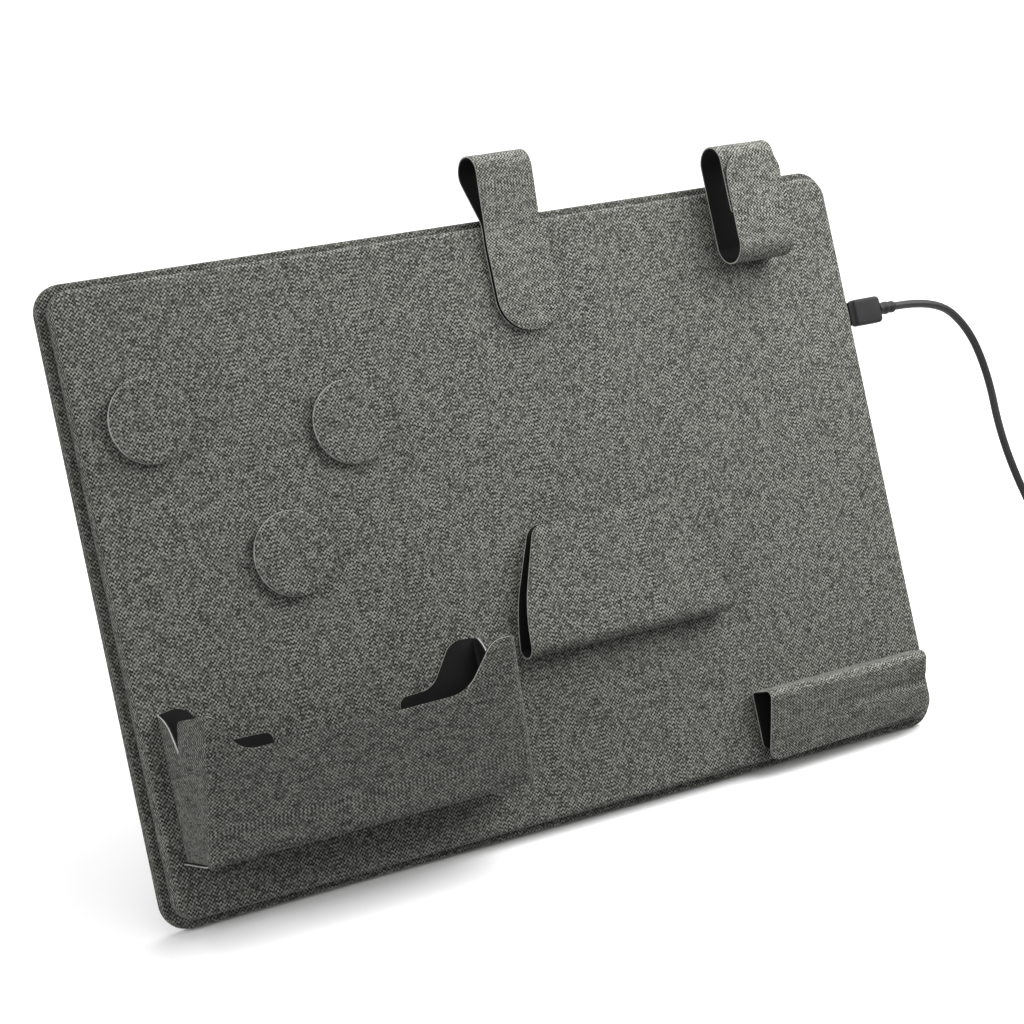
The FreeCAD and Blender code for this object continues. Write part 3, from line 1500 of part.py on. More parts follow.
def check_and_write():
    """Stops on any failed object, then writes each piece to a file of its own."""
    doc.recompute()
    for item in doc.Objects:
        if "Invalid" in item.State or "Error" in item.State:
            raise ValueError(f"{item.Label} is {item.State}")
    for label, (item, group) in pieces.items():
        if item.Shape.isNull() or not item.Shape.isValid():
            raise ValueError(f"{label} has no valid shape")
    os.makedirs("parts", exist_ok=True)
    for label, (item, group) in pieces.items():
        item.Shape.exportStep(f"parts/{label}.step")


rear_wrap, rear_core = make_rear_board()
front_wrap, front_core, steel_sheet, foam_pad = make_front_board()
make_charger(front_wrap, front_core, steel_sheet, foam_pad)
for disc_name, (side, drop) in DISC_PLACES.items():
    make_disc(disc_name, (getattr(size, side) - half_board, size.board_height - getattr(size, drop)))
make_tray()
make_card_pocket()
make_ledge()
make_pen_loop()
flap_heel, flap_front = make_keeper()
leg_wrap, leg_core, leg_lining = make_leg()
make_hinge(rear_wrap, rear_core, leg_wrap, leg_core, leg_lining)
plug_tip = make_plug()

upright = FreeCAD.Rotation(X_AXIS, 90 - size.lean_angle.value)
pin = FreeCAD.Vector(0, size.hinge_y.value, hinge_level.value)
leg_turn = FreeCAD.Placement(FreeCAD.Vector(), FreeCAD.Rotation(X_AXIS, size.leg_open_angle.value), pin)
stance = FreeCAD.Placement(FreeCAD.Vector(0, 0, -sill.value), upright)
stance = shift_to_middle(stance, leg_turn)
make_far_plug()
far_place = make_lead(stance.multVec(plug_tip))
settle(stance, leg_turn, far_place)
check_and_write()

print("stance", stance.Base)
print("leg pin", stance.multVec(pin))
print("flap fold", stance.multVec(FreeCAD.Vector(keeper_x.value, flap_heel.value, flap_front.value)))
print("plug tip", stance.multVec(plug_tip))
print("pieces", len(pieces))
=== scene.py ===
"""Looks of the charging panel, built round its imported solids."""
import logging
import math
from collections.abc import Callable, Iterable, Sequence
from dataclasses import dataclass, field
from enum import Enum, IntEnum
from typing import NamedTuple

import bmesh
import bpy
from mathutils import Matrix, Vector, noise


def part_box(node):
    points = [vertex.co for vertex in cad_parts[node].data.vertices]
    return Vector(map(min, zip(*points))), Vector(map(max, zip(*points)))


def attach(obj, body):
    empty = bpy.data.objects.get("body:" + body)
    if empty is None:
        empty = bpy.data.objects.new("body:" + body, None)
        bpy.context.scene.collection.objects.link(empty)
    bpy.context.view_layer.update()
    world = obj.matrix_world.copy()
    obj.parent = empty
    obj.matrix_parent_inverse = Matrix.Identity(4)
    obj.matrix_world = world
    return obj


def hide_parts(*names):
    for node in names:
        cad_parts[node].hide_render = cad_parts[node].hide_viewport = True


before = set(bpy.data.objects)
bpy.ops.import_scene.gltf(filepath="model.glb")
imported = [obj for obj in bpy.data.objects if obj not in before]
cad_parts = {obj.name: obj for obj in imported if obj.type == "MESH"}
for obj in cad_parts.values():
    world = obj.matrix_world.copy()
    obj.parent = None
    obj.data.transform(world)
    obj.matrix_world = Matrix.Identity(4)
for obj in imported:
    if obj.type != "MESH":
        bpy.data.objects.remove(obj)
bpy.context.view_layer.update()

LOG = logging.getLogger("charging_panel")

# The panel leans back: its own x, y and z in millimetres become metres of the standing part.
LEAN = math.radians(23.0)
FOOT = Vector((0.0, -0.04580602, -0.00037348))
STANDING = Matrix.Translation(FOOT) @ Matrix.Rotation(math.pi / 2 - LEAN, 4, "X")
TO_METRES = Matrix.Scale(0.001, 4)
PANEL = STANDING @ TO_METRES

# Turns the panel's face level, for finishes that are laid out on it.
FLAT_TURN = (LEAN - math.pi / 2, 0, 0)
MILLIMETRES = 1000.0

# Height of the magnets in the holders' back leaves, and how far cloth and lining reach past them.
MAGNET_HEIGHT = 1.0
COVER = 0.05
# How near to the panel a leaf lies flat on it, and over what rise it becomes free to wave.
LEAF_NEAR = 0.2
LEAF_FADE = 0.6
# Angle in radians from which an edge of a thick sheet belongs to its rim, and that rim's rounding.
RIM_ANGLE = 0.9
RIM_SOFT = 0.15
# Points nearer than the first are one point, and runs shorter than the second have no length.
MERGE = 1e-4
TINY = 1e-9
# Widest strip between the creases of a folded sheet, and of a strap.
STRIP = 4.0
STRAP_STRIP = 3.0
# Keeps a full rounding from closing on itself, and the tray's floor off its walls' lower rim.
ROUND_PLAY = 0.02

# Weave: how far each warp yarn slips along itself, and strides and levels that keep the noises of
# neighbouring yarns and crossings apart.
SLIP = 0.55
WARP_STRIDE = 13.73
WEFT_STRIDE = 11.39
WEFT_LEVEL = 7.0
CELL_LEVEL = 3.0

Point = tuple[float, float]
Place = tuple[float, float, float]
Colour = tuple[float, float, float, float]
Shape = bmesh.types.BMesh
Edge = bmesh.types.BMEdge
Socket = bpy.types.NodeSocket
Value = float | Socket
Inputs = dict[str | int, Value | Place | Colour]


class Grain(Enum):
    """Which way the slubs of a cloth run on its piece."""

    UPRIGHT = "upright"
    LEVEL = "level"


class Reads(Enum):
    """What a cloth's pattern is laid out on."""

    SHEET = "sheet"
    PLACE = "place"


class Side(IntEnum):
    """Material numbers of a lined sheet."""

    CLOTH = 0
    LINING = 1
    EDGE = 2


class Rounding(Enum):
    """What is rounded, by the operator's own word for it."""

    EDGES = "EDGES"
    CORNERS = "VERTICES"


class Graph:
    """Adds and joins the nodes of one tree."""

    def __init__(self, tree: bpy.types.NodeTree) -> None:
        """Keeps the tree.

        Args:
            tree: The tree that gets the nodes.
        """
        self.tree = tree

    def feed(self, node: bpy.types.Node, inputs: Inputs) -> None:
        """Sets or links some of a node's inputs.

        Args:
            node: The node.
            inputs: Values or sockets by the name or number of the input.
        """
        for name, value in inputs.items():
            if isinstance(value, Socket):
                self.tree.links.new(value, node.inputs[name])
            else:
                node.inputs[name].default_value = value

    def node(
        self, kind: str, inputs: Inputs | None = None, **settings: str | bpy.types.NodeTree
    ) -> bpy.types.Node:
        """Adds a node.

        Args:
            kind: The node's type name.
            inputs: Values or sockets by the name or number of the input.
            **settings: Properties of the node.

        Returns:
            The new node.
        """
        made = self.tree.nodes.new(kind)
        for name, value in settings.items():
            setattr(made, name, value)
        self.feed(made, inputs or {})
        return made

    def place(self) -> Socket:
        """Place on the piece, in metres."""
        return self.node("ShaderNodeTexCoord").outputs["Object"]

    def mapped(self, vector: Socket, move: str, amount: Place) -> Socket:
        """Shifts, turns or stretches a place.

        Args:
            vector: Socket of the place.
            move: Location, Rotation or Scale.
            amount: How much, by axis.

        Returns:
            The new place's socket.
        """
        return self.node("ShaderNodeMapping", {"Vector": vector, move: amount}).outputs[0]

    def math(self, operation: str, *values: Value) -> Socket:
        """Joins values by a sum, product or other operation.

        Args:
            operation: The operation's name.
            *values: Numbers or sockets, in order.

        Returns:
            The result's socket.
        """
        return self.node("ShaderNodeMath", dict(enumerate(values)), operation=operation).outputs[0]

    def join(self, x: Value, y: Value, z: Value = 0.0) -> Socket:
        """Makes a vector of three values.

        Args:
            x: First value or socket.
            y: Second value or socket.
            z: Third value or socket.

        Returns:
            The vector's socket.
        """
        return self.node("ShaderNodeCombineXYZ", {0: x, 1: y, 2: z}).outputs[0]

    def noise(self, vector: Socket, scale: Value, detail: float, roughness: float) -> Socket:
        """Adds soft noise.

        Args:
            vector: Socket of the place that the noise is read at.
            scale: Lumps per unit of that vector.
            detail: Number of finer layers.
            roughness: Strength of the finer layers.

        Returns:
            The noise's value.
        """
        inputs = {"Vector": vector, "Scale": scale, "Detail": detail, "Roughness": roughness}
        return self.node("ShaderNodeTexNoise", inputs).outputs[0]

    def colours(self, factor: Socket, first: Socket, second: Socket) -> Socket:
        """Mixes two colours.

        Args:
            factor: Share of the second colour.
            first: Socket of the first colour.
            second: Socket of the second colour.

        Returns:
            The mixed colour.
        """
        made = self.node("ShaderNodeMix", {0: factor, 6: first, 7: second}, data_type="RGBA")
        return made.outputs[2]

    def spread(self, value: Socket, low: float, high: float, to_low: float, to_high: float) -> Socket:
        """Maps a value from one range to another.

        Args:
            value: Socket of the value.
            low: Start of its range.
            high: End of its range.
            to_low: Start of the new range.
            to_high: End of the new range.

        Returns:
            The mapped value.
        """
        inputs = {0: value, 1: low, 2: high, 3: to_low, 4: to_high}
        return self.node("ShaderNodeMapRange", inputs).outputs[0]

    def bump(self, height: Socket, strength: float, distance: float) -> Socket:
        """Turns a height into a normal.

        Args:
            height: Socket of the height.
            strength: Strength of the relief.
            distance: Height of the relief in metres.

        Returns:
            The normal.
        """
        inputs = {"Height": height, "Strength": strength, "Distance": distance}
        return self.node("ShaderNodeBump", inputs).outputs[0]

    def steps(self, factor: Socket, stops: Sequence[tuple[float, Colour]]) -> Socket:
        """Looks a value up in a band of colours.

        Args:
            factor: Socket of the value.
            stops: Places and colours of the band.

        Returns:
            The colour.
        """
        ramp = self.node("ShaderNodeValToRGB", {0: factor})
        band = ramp.color_ramp.elements
        for number, (place, colour) in enumerate(stops):
            stop = band[number] if number < len(band) else band.new(place)
            stop.position = place
            stop.color = colour
        return ramp.outputs[0]


def grey(level: float, warmth: float = 0.0) -> Colour:
    """A near-grey colour.

    Args:
        level: Its brightness.
        warmth: How much redder than blue it is, as a share.

    Returns:
        The colour.
    """
    return (level * (1 + warmth), level, level * (1 - warmth), 1.0)


def new_group(name: str, numbers: Iterable[str], colours: Iterable[str]) -> bpy.types.NodeTree:
    """Starts a shader node group that reads a place and gives colour, roughness and height.

    Args:
        name: Its name.
        numbers: Names of its inputs that are numbers.
        colours: Names of its inputs that are colours.

    Returns:
        The empty group with its sockets.
    """
    tree = bpy.data.node_groups.new(name, "ShaderNodeTree")
    number, colour = "NodeSocketFloat", "NodeSocketColor"
    inputs = [("Vector", "NodeSocketVector")]
    inputs += [(label, number) for label in numbers]
    inputs += [(label, colour) for label in colours]
    outputs = [("Color", colour), ("Roughness", number), ("Height", number)]
    for direction, sockets in (("INPUT", inputs), ("OUTPUT", outputs)):
        for label, kind in sockets:
            tree.interface.new_socket(label, in_out=direction, socket_type=kind)
    return tree


class Effects:
    """Node groups that several finishes share, each built once."""

    def __init__(self) -> None:
        """Builds the groups."""
        self.weave = self._weave()
        self.specks = self._specks()

    @staticmethod
    def _weave() -> bpy.types.NodeTree:
        """Plain weave of pale slubbed yarns one way and darker yarns the other way.

        Returns:
            The group, which reads millimetres and gives colour, roughness and height.
        """
        yarns = ("Yarn", "Float", "Slub", "Cross slub", "Warp", "Weft")
        tones = ("Contrast", "Streak", "Fleck", "Fleck part")
        tree = new_group("heather_weave", yarns + tones, ("Dark", "Light"))
        graph = Graph(tree)
        given = graph.node("NodeGroupInput").outputs
        axes = graph.node("ShaderNodeSeparateXYZ", {0: given["Vector"]}).outputs
        across = graph.math("DIVIDE", axes[0], given["Yarn"])
        even = graph.math("DIVIDE", axes[1], graph.math("MULTIPLY", given["Yarn"], given["Float"]))
        warp_number = graph.math("FLOOR", across)
        slip = graph.node("ShaderNodeTexWhiteNoise", {"W": warp_number}, noise_dimensions="1D")
        along = graph.math("MULTIPLY_ADD", slip.outputs[0], SLIP, even)
        weft_number = graph.math("FLOOR", along)
        warp_place = graph.join(
            graph.math("MULTIPLY", warp_number, WARP_STRIDE),
            graph.math("DIVIDE", axes[1], given["Slub"]),
        )
        weft_place = graph.join(
            graph.math("DIVIDE", axes[0], given["Cross slub"]),
            graph.math("MULTIPLY", weft_number, WEFT_STRIDE),
            WEFT_LEVEL,
        )
        warp_tone = graph.noise(warp_place, scale=1.0, detail=3.0, roughness=0.6)
        weft_tone = graph.noise(weft_place, scale=1.0, detail=3.0, roughness=0.6)
        over = graph.math("FLOORED_MODULO", graph.math("ADD", warp_number, weft_number), 2.0)
        under = graph.math("SUBTRACT", 1.0, over)
        crossing = graph.join(warp_number, weft_number, CELL_LEVEL)
        cell = graph.node("ShaderNodeTexWhiteNoise", {0: crossing}).outputs[0]

        def swing(tone: Socket, size: Socket) -> Socket:
            """Swing of a tone about its middle."""
            return graph.math("MULTIPLY", graph.math("SUBTRACT", tone, 0.5), size)

        uneven = swing(cell, given["Fleck"])
        streak = swing(warp_tone, given["Streak"])

        def shade(tone: Socket, level: Socket, flecks: Socket) -> Socket:
            """Tone of one set of yarns about its own level, with its flecks and the streaks."""
            own = graph.math("ADD", swing(tone, given["Contrast"]), level)
            whole = graph.math("ADD", own, graph.math("ADD", flecks, streak))
            return graph.spread(whole, 0.0, 1.0, 0.0, 1.0)

        def woven(warp: Socket, weft: Socket) -> Socket:
            """Warp where it passes over, and weft where the warp passes under."""
            shown = (graph.math("MULTIPLY", warp, over), graph.math("MULTIPLY", weft, under))
            return graph.math("ADD", *shown)

        def swell(turns: Socket) -> Socket:
            """Round back of each yarn, from the count of yarns passed."""
            return graph.math("ABSOLUTE", graph.math("SINE", graph.math("MULTIPLY", turns, math.pi)))

        fainter = graph.math("MULTIPLY", uneven, given["Fleck part"])
        share = woven(
            shade(warp_tone, given["Warp"], uneven), shade(weft_tone, given["Weft"], fainter)
        )
        relief = woven(swell(across), swell(along))
        made = {
            "Color": graph.colours(share, given["Dark"], given["Light"]),
            "Roughness": graph.spread(share, 0.0, 1.0, to_low=0.96, to_high=0.82),
            "Height": graph.math(
                "ADD", graph.math("MULTIPLY", relief, 0.6), graph.math("MULTIPLY", share, 0.4)
            ),
        }
        graph.node("NodeGroupOutput", made)
        return tree

    @staticmethod
    def _specks() -> bpy.types.NodeTree:
        """Fine grain with rubbed and dusty patches, for plain plastics, metals and linings.

        Returns:
            The group, which reads metres and gives colour, roughness and height.
        """
        tree = new_group("fine_grain", ("Grain", "Patch", "Smooth", "Rough"), ("Base", "Worn"))
        graph = Graph(tree)
        given = graph.node("NodeGroupInput").outputs
        grain = graph.noise(given["Vector"], given["Grain"], detail=2.0, roughness=0.6)
        patch = graph.noise(given["Vector"], given["Patch"], detail=4.0, roughness=0.6)
        rubbed = graph.spread(patch, 0.35, 0.75, 0.0, 1.0)
        fleck = graph.spread(grain, 0.35, 0.7, 0.0, 1.0)
        share = graph.math(
            "ADD", graph.math("MULTIPLY", rubbed, 0.6), graph.math("MULTIPLY", fleck, 0.4)
        )
        step = graph.math("SUBTRACT", given["Rough"], given["Smooth"])
        kept = graph.math("SUBTRACT", 1.0, rubbed)
        made = {
            "Color": graph.colours(share, given["Base"], given["Worn"]),
            "Roughness": graph.math("MULTIPLY_ADD", kept, step, given["Smooth"]),
            "Height": grain,
        }
        graph.node("NodeGroupOutput", made)
        return tree


EFFECTS = Effects()


def start_material(name: str) -> tuple[bpy.types.Material, Graph, bpy.types.Node]:
    """Starts a material with its surface shader.

    Args:
        name: The material's name.

    Returns:
        The material, its tree's helper and the surface shader.
    """
    material = bpy.data.materials.new(name)
    material.use_nodes = True
    material.node_tree.nodes.clear()
    graph = Graph(material.node_tree)
    surface = graph.node("ShaderNodeBsdfPrincipled")
    graph.node("ShaderNodeOutputMaterial", {"Surface": surface.outputs[0]})
    return material, graph, surface


@dataclass(frozen=True)
class Cloth:
    """Heathered cloth, laid out on the piece's own flat sheet or on its place on the panel."""

    name: str
    grain: Grain
    reads: Reads = Reads.SHEET
    dark: float = 0.006
    light: float = 0.234
    yarn: float = 0.66
    skip: float = 1.1
    slub: float = 3.6
    cross_slub: float = 1.6
    contrast: float = 0.55
    streak: float = 0.42
    fleck: float = 0.85
    fleck_part: float = 0.6
    warp: float = 0.69
    weft: float = 0.03
    turn: float = math.pi / 2 - LEAN
    strength: float = 0.5
    relief: float = 0.00012
    sheen: float = 0.05
    sheen_rough: float = 0.6
    shine: float = 0.2

    def material(self) -> bpy.types.Material:
        """Makes the cloth.

        Returns:
            Its material.
        """
        material, graph, surface = start_material(self.name)
        if self.reads is Reads.SHEET:
            flat = graph.node("ShaderNodeUVMap", uv_map="sheet").outputs[0]
        else:
            turned = graph.mapped(graph.place(), "Rotation", (-self.turn, 0, 0))
            flat = graph.mapped(turned, "Scale", (MILLIMETRES,) * 3)
        if self.grain is Grain.LEVEL:
            flat = graph.mapped(flat, "Rotation", (0, 0, math.pi / 2))
        inputs = {
            "Vector": flat,
            "Yarn": self.yarn,
            "Float": self.skip,
            "Slub": self.slub,
            "Cross slub": self.cross_slub,
            "Contrast": self.contrast,
            "Streak": self.streak,
            "Fleck": self.fleck,
            "Fleck part": self.fleck_part,
            "Warp": self.warp,
            "Weft": self.weft,
            "Dark": self._olive(self.dark),
            "Light": self._olive(self.light),
        }
        weave = graph.node("ShaderNodeGroup", inputs, node_tree=EFFECTS.weave).outputs
        looks = {
            "Base Color": weave["Color"],
            "Roughness": weave["Roughness"],
            "Normal": graph.bump(weave["Height"], self.strength, self.relief),
            "Sheen Weight": self.sheen,
            "Sheen Roughness": self.sheen_rough,
            "Specular IOR Level": self.shine,
        }
        graph.feed(surface, looks)
        return material

    @staticmethod
    def _olive(level: float) -> Colour:
        """Grey with the cloth's faint olive cast.

        Args:
            level: Its brightness.

        Returns:
            The colour.
        """
        return (0.98 * level, level, 0.885 * level, 1.0)


@dataclass(frozen=True)
class Plain:
    """Plain plastic, metal, card or lining with a fine grain and rubbed patches."""

    name: str
    base: Colour
    worn: Colour
    smooth: float
    rough: float
    grain: float
    patch: float = 60.0
    relief: float = 0.00003
    strength: float = 0.3
    metal: float = 0.0
    stretch: Place = (1.0, 1.0, 1.0)
    shine: float = 0.5

    def material(self) -> bpy.types.Material:
        """Makes the finish.

        Returns:
            Its material.
        """
        material, graph, surface = start_material(self.name)
        inputs = {
            "Vector": graph.mapped(graph.place(), "Scale", self.stretch),
            "Grain": self.grain,
            "Patch": self.patch,
            "Base": self.base,
            "Worn": self.worn,
            "Smooth": self.smooth,
            "Rough": self.rough,
        }
        specks = graph.node("ShaderNodeGroup", inputs, node_tree=EFFECTS.specks).outputs
        looks = {
            "Base Color": specks["Color"],
            "Roughness": specks["Roughness"],
            "Normal": graph.bump(specks["Height"], self.strength, self.relief),
            "Metallic": self.metal,
            "Specular IOR Level": self.shine,
        }
        graph.feed(surface, looks)
        return material


@dataclass(frozen=True)
class Winding:
    """Ring of enamelled copper wire, wound flat about a centre on the panel."""

    name: str
    centre: Place
    pitch: float = 0.0011
    metal: float = 0.8
    bands: tuple[tuple[float, Colour], ...] = (
        (0.0, (0.09, 0.03, 0.012, 1)),
        (0.5, (0.5, 0.2, 0.08, 1)),
        (1.0, (0.75, 0.36, 0.17, 1)),
    )

    def material(self) -> bpy.types.Material:
        """Makes the winding's finish.

        Returns:
            Its material.
        """
        material, graph, surface = start_material(self.name)
        shifted = graph.mapped(graph.place(), "Location", tuple(-x for x in self.centre))
        flat = graph.mapped(shifted, "Rotation", FLAT_TURN)
        axes = graph.node("ShaderNodeSeparateXYZ", {0: flat}).outputs
        face = graph.join(axes[0], axes[1])
        ring = graph.node("ShaderNodeVectorMath", {0: face}, operation="LENGTH").outputs["Value"]
        turns = graph.math("MULTIPLY", ring, math.pi / self.pitch)
        wire = graph.math("ABSOLUTE", graph.math("SINE", turns))
        looks = {
            "Base Color": graph.steps(wire, self.bands),
            "Roughness": graph.spread(wire, 0.0, 1.0, to_low=0.6, to_high=0.3),
            "Normal": graph.bump(wire, strength=0.6, distance=0.0003),
            "Metallic": self.metal,
        }
        graph.feed(surface, looks)
        return material


@dataclass(frozen=True)
class Circuit:
    """Green circuit board with copper lines under its varnish."""

    name: str
    varnish: tuple[Colour, Colour] = ((0.012, 0.07, 0.035, 1), (0.016, 0.085, 0.045, 1))
    copper: Colour = (0.12, 0.16, 0.05, 1)

    def material(self) -> bpy.types.Material:
        """Makes the board's finish.

        Returns:
            Its material.
        """
        material, graph, surface = start_material(self.name)
        inputs = {
            "Vector": graph.mapped(graph.place(), "Rotation", FLAT_TURN),
            "Color1": self.varnish[0],
            "Color2": self.varnish[1],
            "Mortar": self.copper,
            "Scale": 220.0,
            "Mortar Size": 0.03,
            "Row Height": 0.4,
            "Brick Width": 1.3,
        }
        lines = graph.node("ShaderNodeTexBrick", inputs).outputs
        looks = {
            "Base Color": lines["Color"],
            "Roughness": graph.spread(lines["Fac"], 0.0, 1.0, to_low=0.35, to_high=0.5),
        }
        graph.feed(surface, looks)
        return material


class Finishes:
    """Every material of the part, made once."""

    def __init__(self) -> None:
        """Makes the materials."""
        self._make_cloths()
        self._make_sheets()
        self._make_metals()
        self._make_charger()
        self._make_plastics()

    def _make_cloths(self) -> None:
        """Makes the heathered cloths; the folded holders' is more streaked than the boards'. The
        tray's is made darker as painted shade, and the holders' and strap's lighter as painted light.
        """
        upright, level = Grain.UPRIGHT, Grain.LEVEL
        self.panel = Cloth("panel_cloth", upright).material()
        self.rear = Cloth("rear_cloth", upright, light=0.19).material()
        self.disc = Cloth("disc_cloth", upright, light=0.232).material()
        self.pocket = Cloth("pocket_cloth", upright, light=0.226).material()
        streaks = {
            "yarn": 0.58,
            "skip": 1.25,
            "slub": 6.0,
            "streak": 0.85,
            "fleck": 0.65,
            "warp": 0.65,
            "weft": 0.05,
        }
        # The tray's copy of the streaked cloth is darker than the panel's, as painted shade on its
        # down-facing front. The holders' and strap's copies are lighter than the panel's, as painted
        # light.
        self.tray = Cloth("tray_cloth_painted_shade", upright, light=0.197, **streaks).material()
        self.holder = Cloth("holder_cloth_painted_light", level, light=0.29, **streaks).material()
        self.strap_cloth_painted_light = Cloth("strap_cloth_painted_light", level, light=0.29, **streaks).material()
        turn = math.pi / 2 - LEAN + math.radians(41)
        self.leg = Cloth("leg_cloth", upright, Reads.PLACE, turn=turn).material()

    def _make_sheets(self) -> None:
        """Makes linings, cut edges and what lies between the cloths."""
        self.lining = Plain(
            "lining_sheet", grey(0.004), grey(0.009, 0.02), 0.62, 0.85, 2600.0, patch=45.0, shine=0.15
        ).material()
        self.edge = Plain(
            "cut_edge", grey(0.2, 0.02), grey(0.42, 0.02), 0.8, 0.95, 2400.0, patch=240.0, strength=0.5
        ).material()
        self.felt = Plain(
            "dark_felt",
            grey(0.012),
            grey(0.03),
            0.9,
            1.0,
            4200.0,
            patch=120.0,
            relief=0.0001,
            strength=0.6,
        ).material()
        self.card = Plain(
            "card", (0.3, 0.24, 0.17, 1), (0.42, 0.35, 0.26, 1), 0.85, 0.95, 1500.0
        ).material()
        self.foam = Plain(
            "foam", grey(0.10), grey(0.17), 0.9, 1.0, 1400.0, patch=80.0, relief=0.0002, strength=0.7
        ).material()

    def _make_metals(self) -> None:
        """Makes the steels and the magnets' plating."""
        self.steel = Plain(
            "zinc_steel",
            grey(0.42),
            grey(0.6),
            0.28,
            0.5,
            900.0,
            patch=40.0,
            metal=1.0,
            stretch=(0.05, 1, 1),
        ).material()
        self.hinge = Plain(
            "blackened_steel", grey(0.03), grey(0.10), 0.32, 0.55, 2200.0, patch=90.0, metal=0.9
        ).material()
        self.rivet = Plain(
            "rivet_steel", grey(0.10), grey(0.26), 0.25, 0.45, 1800.0, patch=200.0, metal=1.0
        ).material()
        self.magnet = Plain(
            "nickel_plate", grey(0.5, 0.03), grey(0.66, 0.03), 0.15, 0.4, 900.0, patch=120.0, metal=1.0
        ).material()
        self.bright = Plain(
            "bright_steel",
            grey(0.55, 0.01),
            grey(0.72, 0.01),
            0.18,
            0.36,
            700.0,
            patch=90.0,
            metal=1.0,
            stretch=(1, 1, 0.1),
        ).material()

    def _make_charger(self) -> None:
        """Makes the finishes of the charger in the panel."""
        self.ferrite = Plain("ferrite", grey(0.02), grey(0.06), 0.55, 0.8, 1600.0).material()
        centre = PANEL @ Vector((114.0, 112.0, 8.0))
        self.winding = Winding("copper_winding", tuple(centre)).material()
        self.circuit = Circuit("circuit").material()

    def _make_plastics(self) -> None:
        """Makes the finishes of the plugs, the lead and its strap."""
        self.grip = Plain(
            "plug_plastic",
            grey(0.008),
            grey(0.014),
            0.42,
            0.6,
            5200.0,
            patch=80.0,
            relief=0.00004,
            strength=0.4,
            shine=0.2,
        ).material()
        # This plastic is darker and duller than the grip: painted shade of the gap between the near
        # plug and the panel, and of the inside of the port.
        self.shaded_gap = Plain(
            "shaded_gap_plastic", grey(0.006), grey(0.012), 0.5, 0.7, 4000.0, patch=90.0, shine=0.15
        ).material()
        self.cord = Plain(
            "cord_jacket", grey(0.012), grey(0.02), 0.34, 0.5, 2600.0, patch=50.0, shine=0.25
        ).material()
        self.contact = Plain(
            "contact_plastic", grey(0.45), grey(0.6), 0.45, 0.6, 2600.0, patch=90.0
        ).material()
        self.strap = Plain(
            "tie_strap",
            grey(0.01),
            grey(0.03),
            0.8,
            0.95,
            3600.0,
            patch=160.0,
            relief=0.00012,
            strength=0.7,
        ).material()


def finish_piece(
    shape: Shape,
    name: str,
    materials: Sequence[bpy.types.Material],
    body: str,
    node: str,
    place: Matrix = PANEL,
    sharp: float = 38.0,
) -> bpy.types.Object:
    """Turns a shape into a piece of the part that rides its body.

    Args:
        shape: The shape, which is used up.
        name: The piece's name.
        materials: Its materials in the order of its faces' numbers.
        body: The body that it rides on.
        node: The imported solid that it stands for.
        place: Where its own frame lies in the standing part.
        sharp: Angle in degrees above which an edge stays sharp.

    Returns:
        The new object.
    """
    bmesh.ops.transform(shape, matrix=place, verts=shape.verts)
    mesh = bpy.data.meshes.new(name)
    shape.to_mesh(mesh)
    shape.free()
    for material in materials:
        mesh.materials.append(material)
    mesh.shade_smooth()
    mesh.set_sharp_from_angle(angle=math.radians(sharp))
    piece = bpy.data.objects.new(name, mesh)
    bpy.context.scene.collection.objects.link(piece)
    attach(piece, body)
    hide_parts(node)
    LOG.info("%s: %d faces, rides %s", name, len(mesh.polygons), body)
    return piece


def dress(material: bpy.types.Material, *nodes: str) -> None:
    """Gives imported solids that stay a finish.

    Args:
        material: The finish.
        *nodes: The solids' names.
    """
    for name in nodes:
        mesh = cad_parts[name].data
        mesh.materials.clear()
        mesh.materials.append(material)
        LOG.info("%s: kept solid in %s", name, material.name)


def evaluated(shape: Shape, slots: int, setup: Callable[[bpy.types.Object], None]) -> Shape:
    """Runs modifiers on a shape.

    Args:
        shape: The shape, which is used up.
        slots: How many material numbers the result may use.
        setup: Adds the modifiers to the object that holds the shape.

    Returns:
        The shape after its modifiers.
    """
    mesh = bpy.data.meshes.new("bench")
    shape.to_mesh(mesh)
    shape.free()
    for _ in range(slots):
        mesh.materials.append(None)
    holder = bpy.data.objects.new("bench", mesh)
    bpy.context.scene.collection.objects.link(holder)
    setup(holder)
    graph = bpy.context.evaluated_depsgraph_get()
    result = bpy.data.meshes.new_from_object(holder.evaluated_get(graph))
    made = bmesh.new()
    made.from_mesh(result)
    bpy.data.objects.remove(holder)
    bpy.data.meshes.remove(mesh)
    bpy.data.meshes.remove(result)
    return made


def carve(shape: Shape, cutter: Shape) -> Shape:
    """Cuts one closed shape out of another; the cut faces take material number 1.

    Args:
        shape: The shape, which is used up.
        cutter: What is cut away, which is used up.

    Returns:
        The cut shape.
    """
    for face in cutter.faces:
        face.material_index = 1
    mesh = bpy.data.meshes.new("cutter")
    cutter.to_mesh(mesh)
    cutter.free()
    mesh.materials.append(None)
    mesh.materials.append(None)
    tool = bpy.data.objects.new("cutter", mesh)
    bpy.context.scene.collection.objects.link(tool)

    def setup(holder: bpy.types.Object) -> None:
        """Adds the cut."""
        cut = holder.modifiers.new("cut", "BOOLEAN")
        cut.operation = "DIFFERENCE"
        cut.solver = "EXACT"
        cut.material_mode = "INDEX"
        cut.object = tool

    made = evaluated(shape, 2, setup)
    bpy.data.objects.remove(tool)
    bpy.data.meshes.remove(mesh)
    return made


def joined(first: Shape, second: Shape) -> Shape:
    """Puts a second shape into the first.

    Args:
        first: The shape that stays.
        second: The shape that is added and used up.

    Returns:
        The first shape.
    """
    mesh = bpy.data.meshes.new("joined")
    second.to_mesh(mesh)
    second.free()
    first.from_mesh(mesh)
    bpy.data.meshes.remove(mesh)
    return first


def shift(shape: Shape, way: Place) -> None:
    """Moves a shape in its own frame."""
    bmesh.ops.translate(shape, vec=way, verts=shape.verts)


